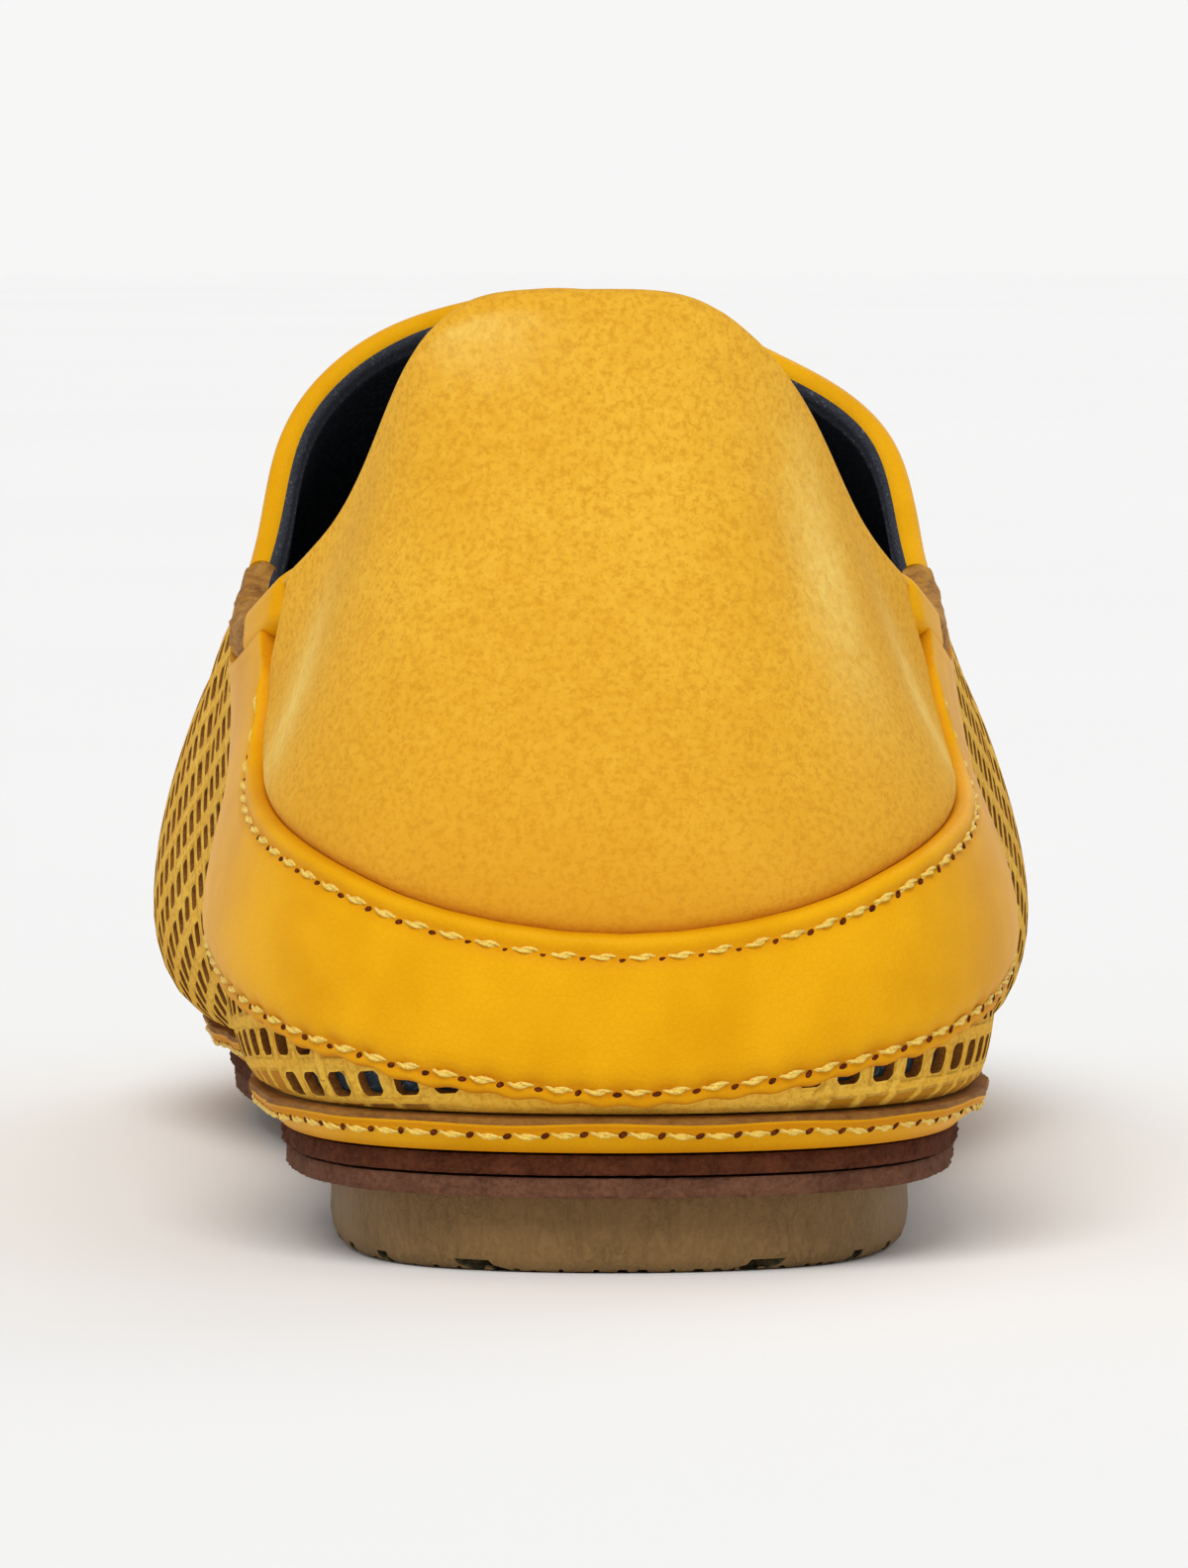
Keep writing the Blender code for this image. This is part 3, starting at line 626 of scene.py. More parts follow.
def sole_leather(name, dark, light):
    """Brown sole leather, rough at its cut edge, with loose pale fibres."""
    f = Finish(name, Specular_IOR_Level=0.08)
    fibres = f.noise(0.55 * MM, 6, 0.8)
    patches = f.noise(4 * MM, 3, 0.6).between(0.3, 0.7)
    colour = f.mix(dark, light, fibres.between(0.32, 0.7) * 0.6 + patches * 0.4)
    strands = f.noise(0.8 * MM, 3, 0.7, f.stretched(1, 1, 3.5)).between(0.62, 0.7)
    colour = f.mix(colour, "B07A58", strands * 0.4)
    return f.shade(colour, fibres * 0.2 + 0.7, fibres + strands * 0.4, 0.3 * MM)


def crepe_rubber(name):
    """Tan rubber with fine upright wrinkles."""
    f = Finish(name, Specular_IOR_Level=0.2)
    wrinkles = f.noise(1.1 * MM, 4, 0.65, f.stretched(1, 1, 0.5), 1.8)
    patch = f.noise(14 * MM, 2, 0.5).between(0.35, 0.65)
    grit = f.noise(0.4 * MM, 3, 0.7)
    colour = f.mix("735831", "927145", wrinkles.between(0.35, 0.65) * 0.35 + grit * 0.65)
    height = wrinkles * (patch * 0.8 + 0.25) * 2.0 + grit * 0.3
    return f.shade(colour, grit * 0.15 + 0.5, height, 0.3 * MM)


def lining(name, dark, fleck, amount):
    """Dense dark lining cloth with paler flecks."""
    f = Finish(name, Specular_IOR_Level=0.15)
    ribs = f.noise(1.3 * MM, 4, 0.7, f.stretched(1, 1, 2.2))
    flecks = f.noise(0.55 * MM, 4, 0.75).between(0.5, 0.68)
    colour = f.mix(dark, fleck, flecks * amount)
    return f.shade(colour, flecks * 0.1 + 0.85, ribs + flecks * 0.4, 0.3 * MM)


def thread(name):
    """Waxed pale yellow thread, twisted."""
    f = Finish(name, Specular_IOR_Level=0.4, Sheen_Weight=0.1)
    twist = f.noise(0.32 * MM, 3, 0.6, f.stretched(1.0, 1.0, 2.0))
    colour = f.mix("D8A92C", "F3D464", twist.between(0.32, 0.58))
    return f.shade(colour, twist * 0.2 + 0.42, twist, 0.12 * MM)


def darkened(name, dark, light):
    """A dark colour for small marks: painted shade in a needle hole, and the dark inside of a
    tread's notch.
    """
    f = Finish(name, Specular_IOR_Level=0.1)
    spots = f.noise(0.5 * MM, 3, 0.6)
    colour = f.mix(dark, light, spots.between(0.35, 0.7))
    return f.shade(colour, spots * 0.1 + 0.85, spots, 0.1 * MM)


class Recipe:
    """A Geometry Nodes tree with named inputs, used on an object and then made a plain mesh."""

    def __init__(self, name, **inputs):
        self.tree = bpy.data.node_groups.new(name, "GeometryNodeTree")
        face = self.tree.interface
        for way in ("INPUT", "OUTPUT"):
            face.new_socket("Geometry", in_out=way, socket_type="NodeSocketGeometry")
        inputs = {**inputs, "Play": "Float", "Seed": "Int", "Finish": "Material"}
        self.keys = {}
        for label, kind in inputs.items():
            label = label.replace("_", " ")
            socket = face.new_socket(label, in_out="INPUT", socket_type="NodeSocket" + kind)
            self.keys[label] = socket.identifier
        self.given = self.node("NodeGroupInput").outputs

    def node(self, kind, settings=None, inputs=None):
        return add_node(self.tree, kind, settings, inputs)

    def after(self, kind, settings, inputs):
        """The first output of a new node."""
        return self.node(kind, settings, inputs).outputs[0]

    def stored(self, name, kind="FLOAT_VECTOR"):
        return self.after("GeometryNodeInputNamedAttribute", {"data_type": kind}, {"Name": name})

    def object_given(self, label):
        node = self.node("GeometryNodeObjectInfo", None, {"Object": self.given[label]})
        return node.outputs["Geometry"]

    def scattered(self, shape, points, slant=None):
        """The shape on every point, at its size, with x along its line and z out of the surface,
        then spun round z by the slant and by up to Play either way."""
        laid = self.after("FunctionNodeAlignRotationToVector", {"axis": "X"},
                          {"Vector": self.stored("along")})
        laid = self.after("FunctionNodeAlignRotationToVector", {"axis": "Z", "pivot_axis": "X"},
                          {"Rotation": laid, "Vector": self.stored("out")})
        swing = self.node("FunctionNodeRandomValue", {"data_type": "FLOAT"},
                          {"Seed": self.given["Seed"]})
        swing.inputs[2].default_value, swing.inputs[3].default_value = -1.0, 1.0
        spin = self.after("ShaderNodeMath", {"operation": "MULTIPLY"},
                          {0: swing.outputs[1], 1: self.given["Play"]})
        if slant is not None:
            spin = self.after("ShaderNodeMath", {"operation": "ADD"}, {0: spin, 1: slant})
        spin = self.after("ShaderNodeCombineXYZ", None, {"Z": spin})
        spin = self.after("FunctionNodeEulerToRotation", None, {0: spin})
        turn = self.after("FunctionNodeRotateRotation", {"rotation_space": "LOCAL"},
                          {0: laid, 1: spin})
        return self.after("GeometryNodeInstanceOnPoints", None, {
            "Points": points, "Instance": self.object_given(shape), "Rotation": turn,
            "Scale": self.stored("size")})

    def realized(self, geometry):
        return self.after("GeometryNodeRealizeInstances", None, {0: geometry})

    def painted(self, geometry, finish, **chosen):
        return self.after("GeometryNodeSetMaterial", None, {
            "Geometry": geometry, "Material": self.given[finish], **chosen})

    def end(self, geometry):
        self.node("NodeGroupOutput", None, {0: geometry})
        return self

    def use(self, thing, name, **values):
        change = thing.modifiers.new("make", "NODES")
        change.node_group = self.tree
        for label, value in values.items():
            change[self.keys[label.replace("_", " ")]] = value
        depsgraph = bpy.context.evaluated_depsgraph_get()
        depsgraph.update()
        mesh = bpy.data.meshes.new_from_object(thing.evaluated_get(depsgraph))
        thing.modifiers.remove(change)
        bpy.data.objects.remove(thing, do_unlink=True)
        mesh.name = name
        return place_object(name, mesh)


def place_object(name, mesh):
    thing = bpy.data.objects.new(name, mesh)
    bpy.context.scene.collection.objects.link(thing)
    return thing


def repeat_recipe():
    """One shape on every point, turned to the line it follows, with a slant that varies."""
    r = Recipe("repeated_shapes", Shape="Object", Slant="Float")
    many = r.scattered("Shape", r.given["Geometry"], r.given["Slant"])
    soft = r.after("GeometryNodeSetShadeSmooth", None, {"Geometry": many})
    return r.end(r.painted(r.realized(soft), "Finish"))


def punch_recipe():
    """Takes one shape out of a solid at every point; the cut takes its own finish."""
    r = Recipe("punched_holes", Places="Object", Punch="Object", Cut_finish="Material")
    real = r.realized(r.scattered("Punch", r.object_given("Places")))
    marked = r.after("GeometryNodeStoreNamedAttribute",
                     {"data_type": "BOOLEAN", "domain": "FACE"},
                     {"Geometry": real, "Name": "cut", "Value": True})
    cut = r.after("GeometryNodeMeshBoolean", {"operation": "DIFFERENCE", "solver": "MANIFOLD"},
                  {"Mesh 1": r.given["Geometry"], "Mesh 2": marked})
    plain = r.painted(r.realized(cut), "Finish")
    return r.end(r.painted(plain, "Cut finish", Selection=r.stored("cut", "BOOLEAN")))


def raw_object(name, points, faces=()):
    mesh = bpy.data.meshes.new(name)
    mesh.from_pydata(np.asarray(points).reshape(-1, 3).tolist(), [], faces)
    return place_object(name, mesh)


def face_outward(mesh):
    shape = bmesh.new()
    shape.from_mesh(mesh)
    bmesh.ops.recalc_face_normals(shape, faces=shape.faces)
    shape.to_mesh(mesh)
    shape.free()


def soften(thing, sharp):
    """Smooth shading, but for edges sharper than an angle in degrees."""
    thing.data.shade_smooth()
    thing.data.set_sharp_from_angle(angle=math.radians(sharp))
    return thing


def mesh_of(name, points, faces, finishes, which, fields=None):
    """A plain mesh object; which gives each face's finish and fields each point's values."""
    thing = raw_object(name, points, faces)
    mesh = thing.data
    mesh.polygons.foreach_set("material_index", np.asarray(which, np.int32))
    face_outward(mesh)
    for key, values in (fields or {}).items():
        store = mesh.attributes.new(key, "FLOAT", "POINT")
        store.data.foreach_set("value", np.asarray(values, np.float32).ravel())
    for finish in finishes:
        mesh.materials.append(finish)
    return soften(thing, 38)


def ring_quads(rings, across, closed=False):
    """The faces between rings of equally many points."""
    row = np.arange(rings if closed else rings - 1)[:, None] * across
    step = np.arange(across)[None]
    beside, after = (step + 1) % across, (row + across) % (rings * across)
    quads = np.stack([row + step, row + beside, after + beside, after + step], axis=2)
    return quads.reshape(-1, 4).tolist()


def loft(name, sections, finishes, closed=False, ring_finish=None, fields=None):
    """A closed solid through rings of equally many points, closed round or with flat ends."""
    count, across = sections.shape[:2]
    faces = ring_quads(count, across, closed)
    finish_of = np.zeros(across, int) if ring_finish is None else ring_finish
    which = np.tile(finish_of, len(faces) // across)
    if not closed:
        faces += [list(range(across)), [(count - 1) * across + i for i in range(across)]]
        which = np.append(which, [0, 0])
    return mesh_of(name, sections, faces, finishes, which, fields)


def stacked(name, loops, finish, shift=0):
    """A closed solid of loops laid on one another, capped by strips from side to side."""
    levels, count = loops.shape[:2]
    faces = ring_quads(levels, count)
    for start in (0, (levels - 1) * count):
        for i in range(count // 2):
            back = count - shift - i
            corners = dict.fromkeys((start + i, start + i + 1, start + back - 1,
                                     start + back % count))
            if len(corners) > 2:
                faces.append(list(corners))
    return mesh_of(name, loops, faces, [finish], np.zeros(len(faces)))


def dots(name, points, along, out, size):
    """Points that a recipe sets shapes on, each with its line, its way out and its size."""
    thing = raw_object(name, points)
    for key, values in (("along", along), ("out", out), ("size", size)):
        store = thing.data.attributes.new(key, "FLOAT_VECTOR", "POINT")
        filled = np.broadcast_to(np.asarray(values, np.float32), (len(points), 3))
        store.data.foreach_set("vector", filled.ravel())
    return thing


def waver(share, seed, low, high, count=9):
    """A gentle waviness round the shoe, between -1 and 1, that closes on itself."""
    play = np.random.default_rng(seed)
    turns = play.integers(low, high, count)
    starts = play.uniform(0, 2 * np.pi, count)
    waves = [np.sin(2 * np.pi * turn * share + start) for turn, start in zip(turns, starts)]
    return np.sum(waves, axis=0) / math.sqrt(count * 2)


def flat_pattern(columns=193, rungs=33):
    """The upper laid out flat, cut at the back: for each place its spot on the leather."""
    shares = np.linspace(0, 1, columns)
    share, part = np.meshgrid(shares, np.linspace(0, 1, rungs), indexing="ij")
    points = read(WALL_POINTS, np.where(share == 1, 0, share), part)
    index = np.arange(columns * rungs).reshape(columns, rungs)
    faces = np.stack([index[:-1, :-1], index[1:, :-1], index[1:, 1:], index[:-1, 1:]], axis=2)
    faces = faces.reshape(-1, 4)
    sheet = raw_object("pattern", points, faces.tolist())
    sheet.data.uv_layers.new(name="flat")
    bpy.context.view_layer.objects.active = sheet
    sheet.select_set(True)
    bpy.ops.object.mode_set(mode="EDIT")
    bpy.ops.mesh.select_all(action="SELECT")
    bpy.ops.uv.unwrap(method="ANGLE_BASED", margin=0.0)
    bpy.ops.object.mode_set(mode="OBJECT")
    corners = np.zeros(len(sheet.data.loops) * 2)
    sheet.data.uv_layers[0].data.foreach_get("uv", corners)
    flat = np.zeros((columns * rungs, 2))
    flat[faces.ravel()] = corners.reshape(-1, 2)
    bpy.data.objects.remove(sheet, do_unlink=True)
    flat = flat.reshape(columns, rungs, 2)
    real = np.linalg.norm(np.diff(points, axis=0), axis=2).sum()
    flat *= real / np.linalg.norm(np.diff(flat, axis=0), axis=2).sum()
    toe = int(round(TOE_SHARE * (columns - 1)))
    flat -= flat[toe, -1]
    ahead = flat[toe, 0] / np.linalg.norm(flat[toe, 0])
    flat = np.stack([flat @ np.array([ahead[1], -ahead[0]]), flat @ ahead], axis=2)
    if flat[columns // 4, 0, 0] < 0:
        flat[..., 0] *= -1
    return share, part, turn_wings(shares, flat), faces


def turn_wings(share, flat):
    """Turns the leather's lattice towards the heel, as the wings were cut from a bent piece."""
    away = np.minimum(share, 1 - share)
    blend = np.clip((WING_START - away) / (WING_START - WING_END), 0, 1)
    side = np.where(share < 0.5, 1.0, -1.0)
    extra = side * WING_TURN * blend * blend * (3 - 2 * blend)
    foot = flat[:, 0]
    steps = np.diff(foot, axis=0)
    middle = (extra[1:] + extra[:-1]) / 2
    toe = int(round(TOE_SHARE * (len(share) - 1)))

    def spun(vectors, angle):
        c, s = np.cos(angle), np.sin(angle)
        return np.stack([vectors[..., 0] * c - vectors[..., 1] * s,
                         vectors[..., 0] * s + vectors[..., 1] * c], axis=-1)

    turned = np.concatenate([[foot[0] * 0], np.cumsum(spun(steps, middle), axis=0)])
    turned += foot[toe] - turned[toe]
    return turned[:, None] + spun(flat - foot[:, None], extra[:, None])


def punched_places(share, part, flat, faces, pitch, hole):
    """Where the square lattice of the leather falls on the shoe, with its two directions."""
    spots = flat.reshape(-1, 2)
    triangles = np.concatenate([faces[:, [0, 1, 2]], faces[:, [0, 2, 3]]])
    tree = BVHTree.FromPolygons([(x, y, 0.0) for x, y in spots], triangles.tolist())
    places = np.stack([share.ravel(), part.ravel()], axis=1)

    def at(u, v):
        found = tree.ray_cast(Vector((u, v, 1.0)), Vector((0, 0, -1)))
        if found[0] is None:
            return None
        corners = triangles[found[2]]
        a, b, c = spots[corners]
        first, second, third = places[corners]
        area = (b[0] - a[0]) * (c[1] - a[1]) - (c[0] - a[0]) * (b[1] - a[1])
        w1 = ((u - a[0]) * (c[1] - a[1]) - (c[0] - a[0]) * (v - a[1])) / area
        w2 = ((b[0] - a[0]) * (v - a[1]) - (u - a[0]) * (b[1] - a[1])) / area
        return first * (1 - w1 - w2) + second * w1 + third * w2

    low, high = spots.min(axis=0) / pitch, spots.max(axis=0) / pitch
    kept = []
    for i in range(int(low[0]) - 1, int(high[0]) + 2):
        for j in range(int(low[1]) - 1, int(high[1]) + 2):
            u, v = (i + 0.5) * pitch, (j + 0.5) * pitch
            near = [at(u + du, v + dv) for du, dv in ((0, 0), (pitch / 3, 0), (0, pitch / 3))]
            if not any(spot is None for spot in near):
                kept.append(near)
    kept = np.array(kept)
    rise = whole(kept[:, 0, 0])
    distance = kept[:, 0, 1] * rise
    points = [read(WALL_POINTS, kept[:, n, 0], kept[:, n, 1]) for n in range(3)]
    sideways, onward = points[1] - points[0], points[2] - points[0]
    scale = (np.linalg.norm(sideways, axis=1) + np.linalg.norm(onward, axis=1)) / (2 * pitch / 3)
    half = scale * hole / 2
    foot = kept[:, 0, 0] % 1
    away = np.minimum(foot, 1 - foot)
    edging = np.where(away > COLLAR_EDGE_END, BINDING_WIDTH, COLLAR_EDGE_WIDTH)
    fox_low = along_edge(FOX_LOW, foot)
    fine = (distance > half + 1.0 * MM) & (distance < rise - edging - half + 1.2 * MM)
    fine &= (away > FOXING[-1][0]) | (distance < fox_low + half * 0.6)
    fine &= (away > PLAIN_BACK) & (scale > 0.6) & (scale < 1.7)
    out = unit(read(WALL_OUT, kept[:, 0, 0], kept[:, 0, 1]))
    return points[0][fine], sideways[fine], out[fine], scale[fine]


def rounded_square():
    """A punch with its corners a little rounded, one unit across and one deep."""
    ring = [(0.5, 0.3), (0.42, 0.42), (0.3, 0.5)]
    turns = [(1, 0, 0, 1), (0, -1, 1, 0), (-1, 0, 0, -1), (0, 1, -1, 0)]
    plan = [(a * x + b * y, c * x + d * y) for a, b, c, d in turns for x, y in ring]
    points = [(x, y, z) for z in (-0.5, 0.5) for x, y in plan]
    count = len(plan)
    faces = [list(range(count))[::-1], list(range(count, 2 * count))]
    faces += [[i, (i + 1) % count, count + (i + 1) % count, count + i] for i in range(count)]
    return raw_object("punch", points, faces)


def stitch_shape(rings=6, sides=5):
    """One stitch: two short strands laid round each other, thin where they go down."""
    points, faces = [], []
    for strand in (0, math.pi):
        base = len(points)
        for ring in range(rings):
            t = ring / (rings - 1)
            thick = 0.30 * math.sin(math.pi * (0.13 + 0.74 * t)) ** 0.6
            turn = strand + 1.6 * math.pi * t
            sag = 0.5 * math.sin(math.pi * t)
            across, up = 0.24 * math.cos(turn), 0.24 * math.sin(turn) + sag - 0.35
            for side in range(sides):
                a = 2 * math.pi * side / sides
                points.append((t - 0.5, across + thick * math.cos(a), up + thick * math.sin(a)))
        faces += [[base + corner for corner in quad] for quad in ring_quads(rings, sides)]
        faces.append([base + side for side in range(sides)][::-1])
        faces.append([base + (rings - 1) * sides + side for side in range(sides)])
    shape = raw_object("stitch", points, faces)
    face_outward(shape.data)
    return shape


def needle_shape(sides=8):
    """A needle's mark: a small dented lens."""
    turns = [2 * math.pi * i / sides for i in range(sides)]
    points = [(0, 0, 0.5), (0, 0, -0.5)]
    points += [(0.5 * math.cos(turn), 0.5 * math.sin(turn), 0) for turn in turns]
    faces = [[0, 2 + i, 2 + (i + 1) % sides] for i in range(sides)]
    faces += [[1, 2 + (i + 1) % sides, 2 + i] for i in range(sides)]
    return raw_object("needle_mark", points, faces)


def stitch_line(name, path, out, pitch, length, thick, slant, below=0.0):
    """Stitches along a path, and the needles' marks between them, both by one recipe."""
    run = runs(path)
    number = int(run[-1] // pitch)
    at = (np.arange(number) + 0.5) * run[-1] / number
    marks = np.arange(number + 1) * run[-1] / number

    def along(places, values):
        return np.stack([np.interp(places, run, values[:, axis]) for axis in range(3)], axis=1)

    tangents = unit(np.gradient(path, axis=0))
    spots = dots(name + "_places", along(at, path), along(at, tangents), unit(along(at, out)),
                 (length, thick, thick))
    line = REPEAT.use(spots, name, Shape=STITCH, Slant=slant, Play=0.07, Seed=3, Finish=THREAD)
    normals = unit(along(marks, out))
    lower = unit(np.cross(normals, along(marks, tangents)))
    spots = dots(name + "_marks", along(marks, path) + lower * below, along(marks, tangents),
                 normals, (1.0 * MM, 0.66 * MM, 0.3 * MM))
    # the needles' marks: small dark lenses of painted shade
    holes = REPEAT.use(spots, name.replace("stitches", "needle_marks"), Shape=NEEDLE, Slant=0.5,
                       Play=0.5, Seed=5, Finish=NEEDLE_SHADE)
    for piece in (line, holes):
        piece.data.shade_smooth()
    SMALL_PIECES.extend([line, holes])


NUBUCK = nubuck("yellow_nubuck", "DFA228", "EDB73A")
# painted light: paler colours than the plain nubuck's, a lit copy for the bars between the holes
PUNCHED_NUBUCK_LIT = nubuck("punched_nubuck_lit", "E6AC30", "F5C850", True)
SMOOTH = smooth_leather("smooth_yellow_leather")
CUT_EDGE = raw_edge("cut_edge", "6E3A12", "A8702C", 0.5)
RAND_EDGE = raw_edge("rand_cut_edge", "7A4A1C", "A8742E")
RAW = raw_edge("raw_collar_edge", "7C4A1C", "CC9540", 1.3)
UPPER_SOLE = sole_leather("midsole_leather", "401F10", "74412A")
LOWER_SOLE = sole_leather("outsole_leather", "583828", "8A5E48")
RUBBER = crepe_rubber("tan_rubber")
NOTCH = darkened("tread_notch", "2B2619", "51462F")
# painted shade laid in the needles' marks
NEEDLE_SHADE = darkened("needle_hole_shade", "4A1C06", "7A380E")
THREAD = thread("yellow_thread")
LINING = lining("dark_lining", "20262D", "66717C", 0.65)
LINING_BACK = lining("flecked_lining", "2E3A45", "8C99A4", 0.8)
LINING_EDGE = lining("grey_lining_edge", "40434C", "7C7F8A", 0.7)
REPEAT, PUNCH = repeat_recipe(), punch_recipe()
STITCH, NEEDLE, SQUARE = stitch_shape(), needle_shape(), rounded_square()
SMALL_PIECES = []  # stitches and needle marks


def keep(piece, slot, *nodes):
    """Hands a finished piece to the shoe's one body, in place of the solids that it stands for."""
    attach(piece, "root")
    if nodes:
        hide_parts(*nodes)


def punched_by(thing, name, holes, play, seed, cut, finish, sharp):
    """The object with a square punched out of it at each of the places."""
    made = PUNCH.use(thing, name, Places=holes, Punch=SQUARE, Play=play, Seed=seed,
                     Cut_finish=cut, Finish=finish)
    bpy.data.objects.remove(holes, do_unlink=True)
    return soften(made, sharp)


def make_upper():
    """The punched leather of the quarters and vamp, one skin with its real holes."""
    share, part, flat, faces = flat_pattern()
    columns, rungs = share.shape
    at = np.linspace(0, columns - 1, 2 * (columns - 1) + 1)
    up = np.linspace(0, rungs - 1, PUNCHED_LEVELS)
    wide = np.stack([[np.interp(up, np.arange(rungs), flat[c, :, k]) for c in range(columns)]
                     for k in (0, 1)], axis=-1)
    wide = np.stack([[np.interp(at, np.arange(columns), wide[:, r, k]) for r in range(len(up))]
                     for k in (0, 1)], axis=-1).transpose(1, 0, 2)
    shares, parts = at[:-1] / (columns - 1), up / (rungs - 1)
    grid = np.meshgrid(shares, parts, indexing="ij")
    outside = read(WALL_POINTS, *grid)
    inside = outside - read(WALL_OUT, *grid) * LEATHER
    sections = np.concatenate([outside, inside[:, ::-1]], axis=1)
    count, across = sections.shape[:2]
    from_back = np.minimum(shares, 1 - shares)
    punched = np.clip((from_back - PLAIN_BACK) / PLAIN_BACK_FADE, 0, 1)
    punched = np.repeat(punched[:, None], across, axis=1)
    upper = loft("punched_upper", sections, [PUNCHED_NUBUCK_LIT], True, fields={"punched": punched})
    spot = np.concatenate([wide, wide[:, ::-1]], axis=1) / HOLE_PITCH
    layer = upper.data.uv_layers.new(name="lattice")
    corner = np.zeros(len(upper.data.loops), np.int32)
    upper.data.loops.foreach_get("vertex_index", corner)
    column_of, ring_of = corner // across, corner % across
    last = np.repeat(np.arange(len(upper.data.polygons)), 4) >= (count - 1) * across
    column_of = np.where(last & (column_of == 0), count, column_of)
    layer.data.foreach_set("uv", spot[column_of, ring_of].astype(np.float32).ravel())
    points, along, out, scale = punched_places(share, part, flat, faces, HOLE_PITCH, HOLE)
    size = np.stack([scale * HOLE, scale * HOLE, np.full(len(scale), 3 * LEATHER)], axis=1)
    holes = dots("hole_places", points, unit(along), out, size)
    keep(punched_by(upper, "punched_upper", holes, 0.05, 11, CUT_EDGE, PUNCHED_NUBUCK_LIT, 40),
         "nubuck", "upper")


def make_lining(levels=41):
    """The lining shell behind the leather, flecked where the holes show it."""
    grid = np.meshgrid(np.arange(300) / 300, np.linspace(0, 1, levels), indexing="ij")
    on, out = read(WALL_POINTS, *grid), read(WALL_OUT, *grid)
    outer, inner = on - out * (LEATHER + 0.06 * MM), on - out * WALL
    sections = np.concatenate([outer, inner[:, ::-1]], axis=1)
    sides = np.repeat([0, 1], levels)
    keep(loft("lining_shell", sections, [LINING_BACK, LINING], True, sides), "lining")


def edged(values, knots):
    """A height read from a short table of (place, height), with its corners softened."""
    places, heights = zip(*knots)
    step = 0.12 * MM
    read_near = [np.interp(values + shift, places, heights) for shift in (-step, 0, step)]
    return np.mean(read_near, axis=0)


def fading(values, middle, width):
    """1 at a distance of middle, fading within about width, both in mm."""
    return np.exp(-((values / MM - middle) / width) ** 2)


def make_foxing():
    """The smooth leather band: a skived lower edge, two sewn channels and a rolled top."""
    end = FOXING[-1][0]
    share = np.linspace(-end, end, 521)
    low, high = along_edge(FOX_LOW, share), along_edge(FOX_HIGH, share)
    run = share * EDGE_LENGTH
    pull = np.cos(2 * np.pi * run / STITCH_PITCH)
    low = low + (0.16 * pull + 0.22 * waver(share, 4, 20, 60)) * MM
    width = high - low
    near = np.minimum(width / (9 * MM), 1)
    edge_rows = np.array([0, 0.12, 0.3, 0.55, 0.85, 1.2, 1.6, 2.0, 2.5, 3.1, 3.8]) * MM
    body = np.linspace(0, 1, 22)[1:-1]
    lower = edge_rows[None] * near[:, None]
    upper = width[:, None] - edge_rows[::-1][None] * near[:, None]
    middle = lower[:, -1:] + body[None] * (upper[:, :1] - lower[:, -1:])
    up = np.concatenate([lower, middle, upper], axis=1)
    down = (width[:, None] - up) / near[:, None]
    up = up / near[:, None]
    lift = edged(np.minimum(up, 5 * MM), FOX_FOOT)
    sewn = np.clip((PANEL_END - np.abs(share)) / 0.002, 0.12, 1)[:, None]
    lift = lift - edged(np.minimum(down, 5 * MM), FOX_DIP) * sewn
    sew = fading(up, LOWER_SEAM, 0.7) + 0.7 * sewn * fading(down, TOP_SEAM, 0.7)
    lift = lift - 0.10 * sew * (0.5 + 0.5 * pull[:, None])
    drape = waver(share, 8, 3, 14)[:, None] * np.sin(np.pi * up / np.maximum(up + down, 1e-6))
    lift = lift + 0.12 * drape
    places = low[:, None] + up * near[:, None]
    outside = skin(share[:, None], places, lift * MM)
    back = np.linspace(1, 0, 9)[None] * width[:, None] + low[:, None]
    inside = skin(share[:, None], back, SKIN_GAP * 0.55)
    sections = np.concatenate([outside, inside], axis=1)
    # painted shade along the two sewn channels and the band's edges, and all over its inside
    hollow_shade = np.clip(0.75 * fading(up, LOWER_SEAM, 0.8)
                     + 0.55 * sewn * fading(down, TOP_SEAM, 0.8)
                     + fading(up, 0, 0.5) + 0.4 * fading(down, 0, 0.35), 0, 1)
    fields = {"hollow_shade": np.concatenate([hollow_shade, np.ones((len(share), 9))], axis=1)}
    keep(loft("foxing_band", sections, [SMOOTH], fields=fields), "smooth_leather", "foxing")
    for name, level, height in (("foxing_top_stitches", -TOP_SEAM * MM, 1.78 * MM),
                                ("foxing_lower_stitches", LOWER_SEAM * MM, 1.42 * MM)):
        span = np.linspace(-end * 0.985, end * 0.985, 900)
        bottom, top = along_edge(FOX_LOW, span), along_edge(FOX_HIGH, span)
        tight = np.minimum((top - bottom) / (9 * MM), 1)
        place = (top if level < 0 else bottom) + level * tight
        sewable = (top - bottom) > 5.5 * MM
        sewable &= (level > 0) | (np.abs(span) < PANEL_END)
        span, place = span[sewable], place[sewable]
        path, lifted = skin(span, place, height), skin(span, place, height + MM)
        stitch_line(name, path, lifted - path, STITCH_PITCH, 3.0 * MM, 0.76 * MM, 0.08,
                    -0.35 * MM)


def folded(share, low, rows, lift, inner, arc=13, turn_down=1.0):
    """A strip that comes up the wall from low and rolls over the topline: how far up it is
    outside and over the roll, how far out the roll is, and how far up the roll's middle is."""
    radius = (lift + WALL + inner) / 2
    centre = whole(share)[:, None] - np.maximum(radius - 1.7 * MM, 0)
    outside = low[:, None] + (centre - low[:, None]) * rows[None, :-1]
    angle = np.linspace(0, np.pi, arc)[None]
    over = centre + np.sin(angle) * radius * turn_down
    return outside, over, (lift - WALL - inner) / 2 + np.cos(angle) * radius, centre


